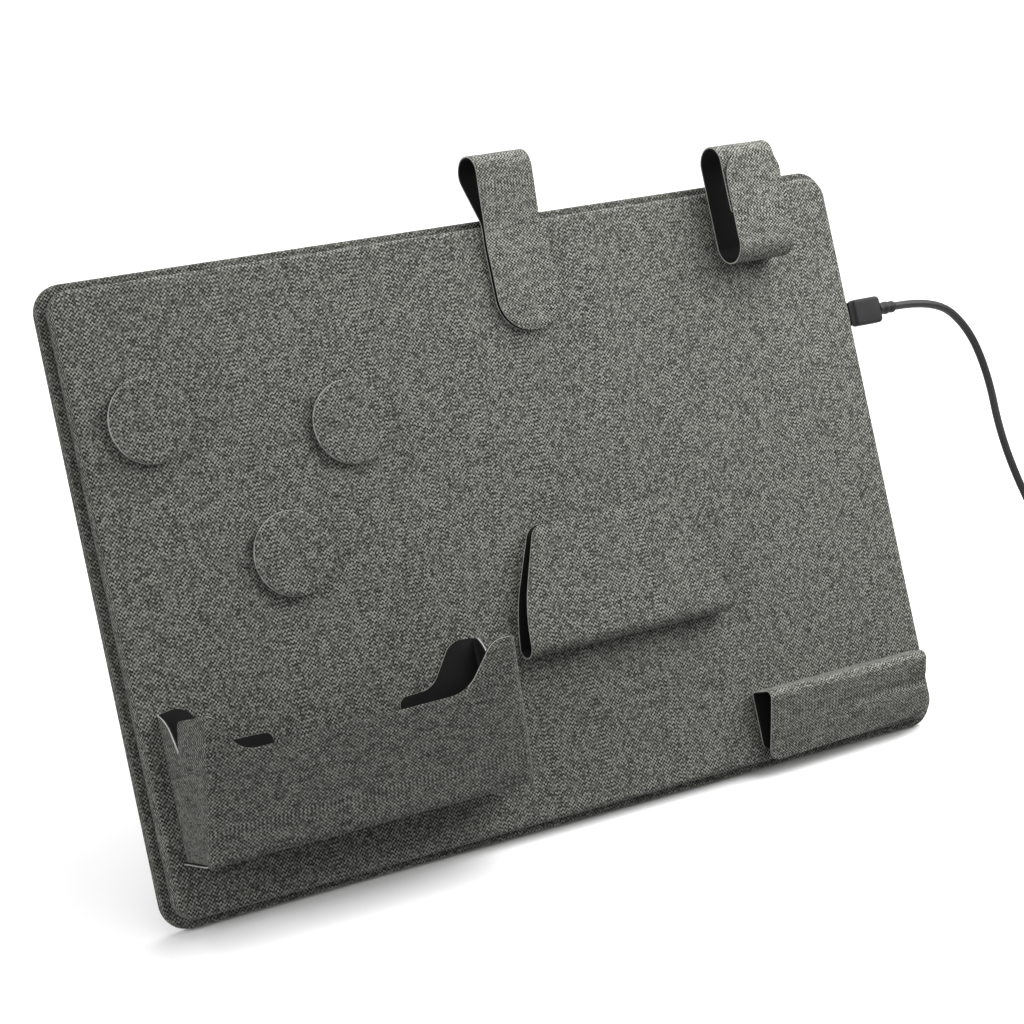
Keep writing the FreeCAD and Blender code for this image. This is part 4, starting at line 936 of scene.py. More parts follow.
def sheet_layer(shape: Shape) -> bmesh.types.BMLayerItem:
    """Makes sure that a shape has one layout, named for its sheet.

    Args:
        shape: The shape.

    Returns:
        The layout.
    """
    layers = shape.loops.layers.uv
    if "sheet" not in layers:
        for name in [layer.name for layer in layers.values()]:
            layers.remove(layers[name])
        layers.new("sheet")
    return layers["sheet"]


def box_sheet(shape: Shape) -> None:
    """Lays the cloth flat on each side of a wrapped shape, in the shape's own millimetres.

    Args:
        shape: The shape, still in its own frame.
    """
    shape.normal_update()
    layer = sheet_layer(shape)
    for face in shape.faces:
        size = [abs(x) for x in face.normal]
        for loop in face.loops:
            x, y, z = loop.vert.co
            if size[2] >= max(size[0], size[1]):
                loop[layer].uv = (x, y)
            elif size[0] >= size[1]:
                loop[layer].uv = (x + z, y)
            else:
                loop[layer].uv = (x, y + z)


def edges_where(shape: Shape, test: Callable[[Edge], bool]) -> list[Edge]:
    """Picks edges.

    Args:
        shape: The shape.
        test: Says whether an edge is wanted.

    Returns:
        The wanted edges.
    """
    return [edge for edge in shape.edges if test(edge)]


def round_off(
    shape: Shape,
    parts: Sequence[Edge | bmesh.types.BMVert],
    radius: float,
    segments: int,
    kind: Rounding = Rounding.EDGES,
) -> None:
    """Rounds edges or a flat sheet's corners.

    Args:
        shape: The shape.
        parts: The edges or corners.
        radius: How far the rounding reaches.
        segments: Number of strips across it.
        kind: Whether the parts are edges or corners.
    """
    bmesh.ops.bevel(
        shape,
        geom=list(parts),
        offset=radius,
        offset_type="OFFSET",
        segments=segments,
        profile=0.5,
        affect=kind.value,
        material=-1,
        clamp_overlap=True,
    )


def cuboid(size: Place) -> Shape:
    """Starts a block about its own middle.

    Args:
        size: Its length along each axis.

    Returns:
        The block, for further shaping.
    """
    shape = bmesh.new()
    bmesh.ops.create_cube(shape, size=1.0)
    bmesh.ops.scale(shape, vec=size, verts=shape.verts)
    return shape


def slab(size: Place, corner: float, front_round: float, back_round: float) -> Shape:
    """Flat board with rounded corners and rolled rims, about its own middle.

    Args:
        size: Width, height and thickness.
        corner: Radius of its corners seen from the front.
        front_round: Radius of its front rim.
        back_round: Radius of its back rim.

    Returns:
        The board.
    """
    shape = cuboid(size)
    half = size[2] / 2

    def runs_through(edge: Edge) -> bool:
        """Whether an edge joins the back to the front."""
        return abs(edge.verts[0].co.z - edge.verts[1].co.z) > half

    def on_level(level: float) -> Callable[[Edge], bool]:
        """Test for edges on one face."""
        return lambda edge: all(abs(vert.co.z - level) < MERGE for vert in edge.verts)

    round_off(shape, edges_where(shape, runs_through), corner, segments=12)
    round_off(shape, edges_where(shape, on_level(half)), front_round, segments=6)
    round_off(shape, edges_where(shape, on_level(-half)), back_round, segments=4)
    return shape


def spun(outline: Iterable[Point], steps: int) -> Shape:
    """Spins an outline into a closed round shape.

    Args:
        outline: Reach from the axis and distance along it.
        steps: Number of strips round the axis.

    Returns:
        The shape about the third axis.
    """
    shape = bmesh.new()
    line = [shape.verts.new((reach, 0, along)) for reach, along in outline]
    edges = [shape.edges.new(pair) for pair in zip(line, line[1:])]
    bmesh.ops.spin(
        shape,
        geom=line + edges,
        cent=(0, 0, 0),
        axis=(0, 0, 1),
        angle=math.tau,
        steps=steps,
        use_merge=True,
    )
    bmesh.ops.remove_doubles(shape, verts=shape.verts, dist=MERGE)
    bmesh.ops.holes_fill(shape, edges=edges_where(shape, lambda edge: edge.is_boundary), sides=0)
    bmesh.ops.recalc_face_normals(shape, faces=shape.faces)
    return shape


class Run(NamedTuple):
    """Straight or evenly bent stretch of a fold path."""

    start: Point
    heading: float
    length: float
    turn: float

    def at(self, share: float) -> Point:
        """Point on the stretch.

        Args:
            share: How far along, from 0 to 1.

        Returns:
            The point.
        """
        x, y = self.start
        if abs(self.turn) < TINY:
            reach = share * self.length
            return x + reach * math.cos(self.heading), y + reach * math.sin(self.heading)
        radius = self.length / self.turn
        end = self.heading + self.turn * share
        return (
            x + radius * (math.sin(end) - math.sin(self.heading)),
            y - radius * (math.cos(end) - math.cos(self.heading)),
        )


@dataclass
class FoldPath:
    """Line of a folded sheet seen from its end: straight runs joined by round bends."""

    corners: Sequence[Point]
    radii: Sequence[float]
    runs: list[Run] = field(init=False)

    def __post_init__(self) -> None:
        """Works out the runs and bends."""
        self.runs = []
        ends = [Vector(corner) for corner in self.corners]
        place = ends[0]
        for number in range(1, len(ends)):
            ahead = ends[number] - ends[number - 1]
            heading = math.atan2(ahead.y, ahead.x)
            stop = ends[number]
            turn = 0.0
            radius = 0.0
            if number < len(ends) - 1:
                after = ends[number + 1] - ends[number]
                turn = math.remainder(math.atan2(after.y, after.x) - heading, 2 * math.pi)
                radius = self.radii[number - 1]
                stop = ends[number] - ahead.normalized() * radius * math.tan(abs(turn) / 2)
            self.runs.append(Run(tuple(place), heading, (stop - place).length, 0.0))
            if turn:
                bend = Run(tuple(stop), heading, radius * abs(turn), turn)
                self.runs.append(bend)
                place = Vector(bend.at(1.0))

    @property
    def length(self) -> float:
        """Length of the whole line."""
        return sum(run.length for run in self.runs)

    def mark(self, distance: float) -> tuple[int, float]:
        """Finds a place along the line.

        Args:
            distance: How far from the line's start.

        Returns:
            The number of the run there, and the share of it that is passed.
        """
        for number, run in enumerate(self.runs):
            if distance <= run.length or number == len(self.runs) - 1:
                return number, distance / run.length if run.length > TINY else 0.0
            distance -= run.length
        return 0, 0.0

    def at(self, distance: float) -> Point:
        """Point a distance along the line.

        Args:
            distance: How far from the line's start.

        Returns:
            The point.
        """
        number, share = self.mark(distance)
        return self.runs[number].at(share)

    def reach(self, number: int, share: float = 0.0) -> float:
        """Distance from the start to a place on a run.

        Args:
            number: The run.
            share: How much of the run is passed.

        Returns:
            The distance.
        """
        return sum(run.length for run in self.runs[:number]) + share * self.runs[number].length

    def creases(self, step: float, angle: float = 10.0) -> list[float]:
        """Distances where the sheet is creased to follow the line.

        Args:
            step: Longest strip on a straight run.
            angle: Widest strip on a bend, in degrees.

        Returns:
            The distances, without the two ends.
        """
        found = []
        passed = 0.0
        for run in self.runs:
            strips = max(1, math.ceil(run.length / step))
            if run.turn:
                strips = max(1, math.ceil(abs(math.degrees(run.turn)) / angle))
            found += [passed + run.length * number / strips for number in range(strips)]
            passed += run.length
        return found[1:]


def cut_sheet(outline: Sequence[Point], rounds: dict[int, float]) -> Shape:
    """Cuts a flat sheet.

    Args:
        outline: Its corners, along and across the fold path, counter-clockwise.
        rounds: How far the rounding of some corners reaches, by corner number.

    Returns:
        The flat sheet.
    """
    shape = bmesh.new()
    corners = [shape.verts.new((*corner, 0.0)) for corner in outline]
    shape.faces.new(corners)
    for radius in sorted(set(rounds.values())):
        chosen = [corners[number] for number, reach in rounds.items() if reach == radius]
        round_off(shape, chosen, radius, segments=8, kind=Rounding.CORNERS)
    return shape


def crease(shape: Shape, along: Iterable[float], across: Iterable[float]) -> None:
    """Divides a flat sheet into strips and lays out its cloth.

    Args:
        shape: The flat sheet.
        along: Distances along the fold path.
        across: Distances across it.
    """
    for normal, places in (((1, 0, 0), along), ((0, 1, 0), across)):
        for place in places:
            bmesh.ops.bisect_plane(
                shape,
                geom=shape.verts[:] + shape.edges[:] + shape.faces[:],
                dist=MERGE,
                plane_co=tuple(place * axis for axis in normal),
                plane_no=normal,
            )
    layer = sheet_layer(shape)
    for face in shape.faces:
        for loop in face.loops:
            loop[layer].uv = loop.vert.co.yx


def cut_strap(path: FoldPath, half: float, rounds: dict[int, float]) -> Shape:
    """Cuts and creases a flat strap.

    Args:
        path: The line that it will follow.
        half: Half its width.
        rounds: How far the rounding of some corners reaches, by corner number.

    Returns:
        The flat strap.
    """
    whole = path.length
    sheet = cut_sheet([(0.0, -half), (whole, -half), (whole, half), (0.0, half)], rounds)
    crease(sheet, path.creases(STRAP_STRIP), rows(STRAP_STRIP, 4))
    return sheet


def rows(step: float, count: int) -> list[float]:
    """Evenly spaced lines on both sides of a sheet's middle.

    Args:
        step: Distance between them.
        count: How many there are on each side.

    Returns:
        Their distances from the middle.
    """
    return [step * number for number in range(-count, count + 1)]


def fold(shape: Shape, place: Callable[[float, float], Place], flip: bool = False) -> None:
    """Bends a flat sheet to its shape.

    Args:
        shape: The flat sheet.
        place: Gives the bent place of a point of the sheet.
        flip: Whether the cloth is on the other side.
    """
    for vert in shape.verts:
        vert.co = place(vert.co.x, vert.co.y)
    if flip:
        bmesh.ops.reverse_faces(shape, faces=shape.faces[:])
    shape.normal_update()


def ripple(shape: Shape, depth: float, scale: float, seed: float, back: float) -> None:
    """Gives a sheet the slight unevenness of real cloth on board, except where it lies on the panel.

    Args:
        shape: The bent sheet.
        depth: Largest shift along the surface's normal.
        scale: Waves per millimetre.
        seed: Shifts the waves so that pieces differ.
        back: Level of the leaf on the panel, which stays flat and just covers its magnets.
    """
    shape.normal_update()
    moves = []
    for vert in shape.verts:
        free = min(1.0, max(0.0, abs(vert.co.z - back) - LEAF_NEAR) / LEAF_FADE)
        wave = depth * noise.noise(vert.co * scale + Vector((seed, seed * 0.7, 0.0)))
        moves.append(vert.normal * wave * free - Vector((0, 0, COVER * (1 - free))))
    for vert, move in zip(shape.verts, moves):
        vert.co += move


def line_magnets(shape: Shape, back: float) -> None:
    """Draws the lining of a back leaf over the magnets that are sewn into it.

    Args:
        shape: The thick sheet.
        back: Level of the leaf on the panel.
    """
    front = back + MAGNET_HEIGHT
    for vert in shape.verts:
        lining = all(face.material_index == Side.LINING for face in vert.link_faces)
        if lining and abs(vert.co.z - front) < LEAF_NEAR:
            vert.co.z = front + COVER


def thicken(shape: Shape, gauge: float, soft: float = RIM_SOFT) -> Shape:
    """Gives a sheet its thickness: cloth outside, lining inside, and a rim whose outer half is pale.
    Its dark inner half is the lining layer's own edge, and also paints the shade of the gap between
    the sheet's two layers.

    Args:
        shape: The bent sheet, which is used up.
        gauge: Its thickness.
        soft: Rounding of the rim.

    Returns:
        The thick sheet with its sides' material numbers.
    """

    def setup(holder: bpy.types.Object) -> None:
        """Adds the thickness."""
        wall = holder.modifiers.new("wall", "SOLIDIFY")
        wall.thickness = gauge
        wall.offset = -1.0
        wall.use_even_offset = True
        wall.material_offset = Side.LINING
        wall.material_offset_rim = Side.EDGE

    made = evaluated(shape, len(Side), setup)
    across = edges_where(
        made, lambda edge: all(face.material_index == Side.EDGE for face in edge.link_faces)
    )
    bmesh.ops.subdivide_edges(made, edges=across, cuts=1)
    # The rim's half next to the lining takes the lining: partly the lining layer's real edge, partly
    # painted shade of the gap between the layers.
    lined = {edge for face in made.faces if face.material_index == Side.LINING for edge in face.edges}
    for face in [face for face in made.faces if face.material_index == Side.EDGE]:
        if any(edge in lined for edge in face.edges):
            face.material_index = Side.LINING
    rim = edges_where(made, lambda edge: edge.calc_face_angle(0.0) > RIM_ANGLE)
    round_off(made, rim, soft, segments=2)
    return made


def lined_board(
    sheet: Shape,
    gauge: float,
    back: float,
    depth: float,
    scale: float,
    seed: float,
    soft: float = RIM_SOFT,
) -> Shape:
    """Turns a bent sheet into uneven lined board whose back leaf covers its magnets.

    Args:
        sheet: The bent sheet, which is used up.
        gauge: Its thickness.
        back: Level of its leaf on the panel.
        depth: Largest shift of its waves.
        scale: Waves per millimetre.
        seed: Shifts the waves so that pieces differ.
        soft: Rounding of the rim.

    Returns:
        The thick sheet with its sides' material numbers.
    """
    ripple(sheet, depth, scale, seed, back)
    thick = thicken(sheet, gauge, soft)
    line_magnets(thick, back)
    return thick


@dataclass
class PanelBoards:
    """The two cloth-wrapped boards of the panel and the dark sheet between them."""

    finishes: Finishes
    width: float = 330.0
    height: float = 220.0
    rear_thickness: float = 4.0
    rear_corner: float = 10.0
    rear_rims: Point = (1.2, 1.2)
    front_inset: float = 3.0
    front_level: float = 4.4
    front_thickness: float = 5.1
    front_corner: float = 8.0
    front_rims: Point = (2.1, 0.9)
    port_height: float = 162.0
    port_size: Point = (9.0, 3.2)
    port_depth: float = 8.3

    def build(self) -> None:
        """Makes both boards."""
        cloth = self.finishes
        rear = slab((self.width, self.height, self.rear_thickness), self.rear_corner, *self.rear_rims)
        shift(rear, (0, self.height / 2, self.rear_thickness / 2))
        box_sheet(rear)
        finish_piece(rear, "rear_board", [cloth.rear], "panel", "rear_wrap")
        inset = 2 * self.front_inset
        size = (self.width - inset, self.height - inset, self.front_thickness)
        front = slab(size, self.front_corner, *self.front_rims)
        middle = self.front_level + self.front_thickness / 2
        shift(front, (0, self.height / 2, middle))
        front = carve(front, self._port(middle))
        box_sheet(front)
        # The port's cut walls take the dark gap plastic: painted shade inside the hole.
        materials = [cloth.panel, cloth.shaded_gap]
        finish_piece(front, "front_board", materials, "panel", "front_wrap")
        dress(cloth.felt, "backing_sheet")

    def _port(self, level: float) -> Shape:
        """Makes the room that the socket's mouth takes out of the right edge.

        Args:
            level: Height of the port's middle above the panel's back.

        Returns:
            The room as a closed shape.
        """
        long, high = self.port_size
        port = cuboid((self.port_depth * 2, long, high))
        lengthwise = edges_where(
            port, lambda edge: abs(edge.verts[0].co.x - edge.verts[1].co.x) > self.port_depth
        )
        round_off(port, lengthwise, high / 2 - ROUND_PLAY, segments=6)
        shift(port, (self.width / 2 - self.front_inset, self.port_height, level))
        return port


@dataclass
class MagnetDiscs:
    """Three loose cloth-covered discs, each with a magnet in its underside."""

    finishes: Finishes
    radius: float = 15.0
    thickness: float = 3.0
    magnet_radius: float = 11.0
    magnet_height: float = 1.8
    seat_play: Point = (0.2, 0.02)
    level: float = 9.5
    crumple: float = 0.09
    crumple_scale: float = 3.0
    places: tuple[tuple[str, float, float], ...] = (
        ("disc_upper_left", -136.2, 169.2),
        ("disc_upper_right", -61.9, 156.4),
        ("disc_lower", -94.3, 115.6),
    )

    def build(self) -> None:
        """Makes the discs."""
        materials = [self.finishes.disc, self.finishes.edge, self.finishes.lining]
        for number, (name, x, y) in enumerate(self.places):
            shape = self._disc(number)
            shift(shape, (x, y, self.level))
            box_sheet(shape)
            finish_piece(shape, f"{name}_cover", materials, name, name, sharp=50.0)

    def _disc(self, number: int) -> Shape:
        """Makes one disc: the magnet's seat, a set-back foot, the cut rim and a low crown.

        Args:
            number: Which disc, so that their rims crease differently.

        Returns:
            The disc about its own middle.
        """
        top = self.thickness
        rim = self.radius
        seat = self.magnet_radius + self.seat_play[0]
        ceiling = self.magnet_height + self.seat_play[1]
        outline = (
            (0.0, ceiling),
            (seat, ceiling),
            (seat, 0.0),
            (rim - 0.9, 0.0),
            (rim - 0.7, 0.2),
            (rim - 0.7, top - 1.4),
            (rim - 0.15, top - 1.3),
            (rim, top - 1.15),
            (rim, top - 0.4),
            (rim - 0.12, top - 0.12),
            (rim - 0.4, top),
            (rim - 2.5, top + 0.02),
            (rim * 0.4, top + 0.06),
            (0.0, top + 0.08),
        )
        shape = spun(outline, steps=72)
        for vert in shape.verts:
            reach = math.hypot(vert.co.x, vert.co.y)
            if vert.co.z > 0.5 and reach > 1:
                angle = math.atan2(vert.co.y, vert.co.x)
                across = math.cos(angle) * self.crumple_scale
                up = math.sin(angle) * self.crumple_scale
                pull = self.crumple * noise.noise(Vector((across, up, number * 5.0)))
                vert.co.z += pull * (reach / self.radius) ** 3
        shape.normal_update()
        # Low faces take the black lining: the disc's hidden underside, and the set-back foot and the
        # lip's underside. On those two, the lining is painted contact shade under the rim.
        edge_number, lining_and_shade_number = 1, 2
        for face in shape.faces:
            height = face.calc_center_median().z
            if height < top - 1.2:
                face.material_index = lining_and_shade_number
            elif height < top - 0.25 and abs(face.normal.z) < 0.8:
                face.material_index = edge_number
        return shape


@dataclass
class FoldedTray:
    """Tray bent from one lined sheet: flared front, ears, a low middle and a notch in each end."""

    finishes: Finishes
    left: float = -155.7
    right: float = -30.5
    bottom: float = 21.0
    height: float = 53.0
    low_front: float = 35.3
    tab_height: float = 37.4
    level: float = 9.5
    floor_front: float = 33.0
    mouth_front: float = 46.0
    taper: float = 4.0
    gauge: float = 1.0
    back_bend: float = 2.4
    front_bend: float = 4.0
    hem: float = 2.6
    hem_shares: tuple[float, ...] = (0.12, 0.3, 0.55, 0.8, 1.0)
    left_tab: float = 40.0
    right_tab: float = 35.0
    flat_share: float = 0.7
    # Below this height the front's cut rim takes the cloth, not the pale edge: painted shade on that
    # rim.
    shaded_rim_height: float = 38.0
    floor_rise: float = 0.8
    floor_fall: float = 1.5
    tilt_reach: float = 20.0
    floor_ends: float = 0.5
    floor_play: float = 0.3
    floor_round: float = 1.5

    def build(self) -> None:
        """Makes the walls and the floor as one piece."""
        reference = self._path(self.height * self.flat_share)
        walls = cut_sheet(*self._outline(reference))
        lines = [self.hem * share for share in self.hem_shares]
        lines += [6 + STRIP * number for number in range(12)]
        crease(walls, reference.creases(STRIP), lines)
        fold(walls, lambda along, up: self._place(reference, along, up))
        thick = lined_board(walls, self.gauge, self.level, depth=0.18, scale=0.06, seed=3.0)
        # Low on the front, the rim's pale outer half takes the cloth instead: painted shade, as that
        # rim lies in shadow.
        for face in thick.faces:
            middle = face.calc_center_median()
            low = middle.z > self.floor_front and middle.y < self.bottom + self.shaded_rim_height
            if low and face.material_index == Side.EDGE:
                face.material_index = Side.CLOTH
        cloth = self.finishes
        materials = [cloth.tray, cloth.lining, cloth.edge]
        whole = joined(thick, self._floor())
        finish_piece(whole, "folded_tray", materials, "tray", "tray")

    def _path(self, up: float) -> FoldPath:
        """Line of the walls at one height, from one back tab round the front to the other.

        Args:
            up: Height above the tray's bottom.

        Returns:
            The line, across and out from the panel.
        """
        share = up / self.height
        front = self.floor_front + (self.mouth_front - self.floor_front) * share
        draw = self.taper * share
        corners = (
            (self.left + self.left_tab, self.level),
            (self.left, self.level),
            (self.left + draw, front),
            (self.right - draw, front),
            (self.right, self.level),
            (self.right - self.right_tab, self.level),
        )
        return FoldPath(corners, (self.back_bend, self.front_bend, self.front_bend, self.back_bend))

    def _outline(self, path: FoldPath) -> tuple[list[Point], dict[int, float]]:
        """Outline of the flat walls, along the reference line and up.

        Args:
            path: The reference line.

        Returns:
            The outline's corners and how far the rounding of each reaches.
        """
        left_end = path.reach(2)
        left_front = path.reach(3, 1.0)
        right_front = path.reach(5)
        right_end = path.reach(6, 1.0)
        whole = path.length
        front_width = right_front - left_front

        def across(x: float) -> float:
            """Distance along the front for a place across the panel."""
            start = path.runs[4].start[0]
            return left_front + (x - start) * front_width / path.runs[4].length

        top = self.height
        low = self.low_front
        tab = self.tab_height
        corners = [
            (0.0, 0.0, 0.0),
            (whole, 0.0, 0.0),
            (whole, tab + 0.2, 3.0),
            (whole - 13.8, tab + 0.8, 4.0),
            (whole - 24.6, top, 4.0),
            (right_end + 0.3, top - 1.0, 1.5),
            (right_end - 3.8, top - 4.2, 3.0),
            (right_end - 8.6, top - 15.4, 0.4),
            (right_end - 10.6, top - 3.2, 1.2),
            (right_front, top - 1.4, 1.5),
            (across(-43.0), top - 1.2, 4.0),
            (across(-55.6), low + 0.6, 6.0),
            (across(-100.0), low + 0.1, 2.0),
            (across(-141.0), low - 0.3, 5.5),
            (left_front - 2.6, top - 4.0, 2.5),
            (left_end + 10.6, top - 4.6, 1.2),
            (left_end + 8.6, top - 15.6, 0.4),
            (left_end + 3.8, top - 5.0, 3.0),
            (left_end - 0.3, top - 1.8, 1.5),
            (30.0, top - 0.4, 4.0),
            (19.0, tab + 0.2, 4.0),
            (0.0, tab - 0.2, 3.0),
        ]
        points = [(x, y) for x, y, reach in corners]
        rounds = {number: reach for number, (x, y, reach) in enumerate(corners) if reach}
        return points, rounds

    def _place(self, reference: FoldPath, along: float, up: float) -> Place:
        """Bent place of a point of the walls.

        Args:
            reference: The line that the flat walls were laid out on.
            along: Distance along that line.
            up: Height above the bottom.

        Returns:
            The place on the panel.
        """
        number, share = reference.mark(along)
        x, z = self._path(up).runs[number].at(share)
        front = {3: share, 4: 1.0, 5: 1.0 - share}.get(number, 0.0)
        if up < self.hem:
            inward = self.hem - math.sqrt(max(0.0, self.hem**2 - (self.hem - up) ** 2))
            z -= inward * front
        return x, self.bottom + up + self._tilt(z) * max(0.0, 1.0 - up / self.tilt_reach), z

    def _tilt(self, level: float) -> float:
        """How far the floor lies above the tray's nominal bottom.

        Args:
            level: Height above the panel's back.

        Returns:
            The difference, which falls towards the front.
        """
        fall = self.floor_fall * (level - self.level) / (self.floor_front - self.level)
        return self.floor_rise - fall

    def _floor(self) -> Shape:
        """Makes the floor, whose cut ends show under the end walls.

        Returns:
            The floor with the tray's material numbers.
        """
        left = self.left - self.floor_ends
        right = self.right + self.floor_ends
        front = self.floor_front - self.hem - self.floor_play
        corners = [
            (left, self.level),
            (right, self.level),
            (right, front - 3.0),
            (self.right - 2.0, front),
            (self.left + 2.0, front),
            (left, front - 3.0),
        ]
        sheet = cut_sheet(corners, dict.fromkeys((2, 3, 4, 5), self.floor_round))
        crease(sheet, (self.left + 20, self.right - 20), (15.0, 24.0))
        fold(sheet, lambda x, z: (x, self.bottom + ROUND_PLAY + self._tilt(z), z))
        return thicken(sheet, self.gauge)


@dataclass
class CardPocket:
    """Lined sheet folded up into a shallow pocket, wider at its foot."""

    finishes: Finishes
    middle: float = 30.2
    bottom: float = 61.5
    height: float = 46.0
    back: float = 9.5
    front: float = 18.7
    mouth: float = 13.4
    half_foot: float = 44.0
    half_top: float = 30.5
    shoulder: float = 13.0
    top_round: float = 3.6
    side_round: float = 13.0
    bulge: float = 2.2
    bulge_from: float = 0.55
    gauge: float = 0.95
    bend: float = 4.2

    def build(self) -> None:
        """Makes the pocket."""
        top = self.bottom + self.height
        corners = (
            (top, self.back),
            (self.bottom, self.back),
            (self.bottom, self.front),
            (top, self.mouth),
        )
        path = FoldPath(corners, (self.bend, self.bend))
        whole = path.length
        drop = self.height - self.shoulder
        wide = self.half_foot
        slim = self.half_top
        outline = [
            (0.0, -slim),
            (drop, -wide),
            (whole - drop, -wide),
            (whole, -slim),
            (whole, slim),
            (whole - drop, wide),
            (drop, wide),
            (0.0, slim),
        ]
        rounds = dict.fromkeys((0, 3, 4, 7), self.top_round)
        rounds |= dict.fromkeys((1, 2, 5, 6), self.side_round)
        sheet = cut_sheet(outline, rounds)
        crease(sheet, path.creases(STRIP), rows(STRIP, 11))

        def place(along: float, across: float) -> Place:
            """Bent place of a point of the sheet."""
            y, z = path.at(along)
            lift = max(0.0, along / whole - self.bulge_from)
            return self.middle + across, y, z + self.bulge * lift * lift * (1 - (across / wide) ** 2)

        fold(sheet, place, flip=True)
        thick = lined_board(sheet, self.gauge, self.back, depth=0.14, scale=0.07, seed=9.0)
        cloth = self.finishes
        materials = [cloth.pocket, cloth.lining, cloth.edge]
        finish_piece(thick, "folded_pocket", materials, "card_pocket", "card_pocket")


@dataclass
class PhoneLedge:
    """Lined sheet folded into a three-sided tube with a soft crease along its front."""

    finishes: Finishes
    middle: float = 117.0
    width: float = 74.0
    bottom: float = 2.6
    height: float = 27.0
    back: float = 9.5
    depth: float = 13.2
    toe: float = 2.8
    slant: float = 2.4
    back_rise: float = 5.0
    crease_up: float = 12.6
    crease_out: float = 7.8
    bends: Place = (1.6, 2.6, 3.0)
    back_round: float = 2.0
    front_round: float = 4.5
    sag: float = 0.5
    dent: float = 1.1
    dent_from: float = 0.6
    dent_slope: float = 3.0
    dent_width: float = 1.8
    tuck: float = 1.5
    tuck_reach: float = 11.0
    gauge: float = 0.95

    def build(self) -> None:
        """Makes the ledge."""
        top = self.bottom + self.height
        corners = (
            (self.bottom + self.back_rise, self.back),
            (top, self.back),
            (top, self.back + self.depth),
            (self.bottom + self.crease_up, self.back + self.crease_out),
            (self.bottom, self.back + self.toe),
        )
        path = FoldPath(corners, self.bends)
        whole = path.length
        half = self.width / 2
        outline = [(0.0, -half), (whole, -half), (whole - self.slant, half), (0.0, half)]
        rounds = {0: self.back_round, 1: self.front_round, 2: self.front_round, 3: self.back_round}
        sheet = cut_sheet(outline, rounds)
        crease(sheet, path.creases(1.5), rows(STRIP, 9))
        fold_line = path.reach(5)

        def place(along: float, across: float) -> Place:
            """Bent place of a point of the sheet."""
            y, z = path.at(along)
            bow = self.sag * (1 - (across / half) ** 2)
            dip = bow * (z - self.back) / self.depth * (y - self.bottom) / self.height
            right = min(1.0, max(0.0, self.dent_from + across / half))
            off = along - fold_line + self.dent_slope * right
            z -= self.dent * right * math.exp(-((off / self.dent_width) ** 2))
            z -= self.tuck * right * max(0.0, 1.0 - (whole - along) / self.tuck_reach)
            return self.middle + across, y - dip, z

        fold(sheet, place)
        thick = lined_board(sheet, self.gauge, self.back, depth=0.2, scale=0.05, seed=15.0)
        cloth = self.finishes
        materials = [cloth.holder, cloth.lining, cloth.edge]
        finish_piece(thick, "folded_ledge", materials, "phone_ledge", "phone_ledge")


@dataclass
class PenLoop:
    """Strap folded into an arch above the panel, its ends laid together as a round tongue."""

    finishes: Finishes
    middle: float = 19.3
    width: float = 26.0
    tip: float = 177.0
    waist: float = 217.5
    crown: float = 243.3
    back: float = 9.5
    tongue: float = 2.6
    gauge: float = 1.0
    radius: float = 6.6
    waist_bend: float = 9.0
    flare: Point = (-3.7, 15.1)
    narrowing: Point = (0.05, 0.15)
    shoulder: float = 8.0
    tip_flat: float = 0.4

    def build(self) -> None:
        """Makes the loop."""
        front = self.back + self.tongue
        corners = (
            (self.tip, self.back),
            (self.waist, self.back),
            (self.crown, self.flare[0]),
            (self.crown, self.flare[1]),
            (self.waist, front),
            (self.tip, front),
        )
        path = FoldPath(corners, (self.waist_bend, self.radius, self.radius, self.waist_bend))
        half = self.width / 2
        sheet = cut_strap(path, half, dict.fromkeys(range(4), half - self.tip_flat))

        def place(along: float, across: float) -> Place:
            """Bent place of a point of the strap."""
            y, z = path.at(along)
            rise = min(1.0, max(0.0, (y - self.waist + self.shoulder) / self.shoulder))
            narrowing = self.narrowing[across > 0]
            return self.middle + across * (1 - narrowing * rise), y, z

        fold(sheet, place)
        thick = lined_board(sheet, self.gauge, self.back, depth=0.16, scale=0.08, seed=21.0)
        cloth = self.finishes
        materials = [cloth.strap_cloth_painted_light, cloth.lining, cloth.edge]
        finish_piece(thick, "pen_strap", materials, "pen_loop", "pen_loop")


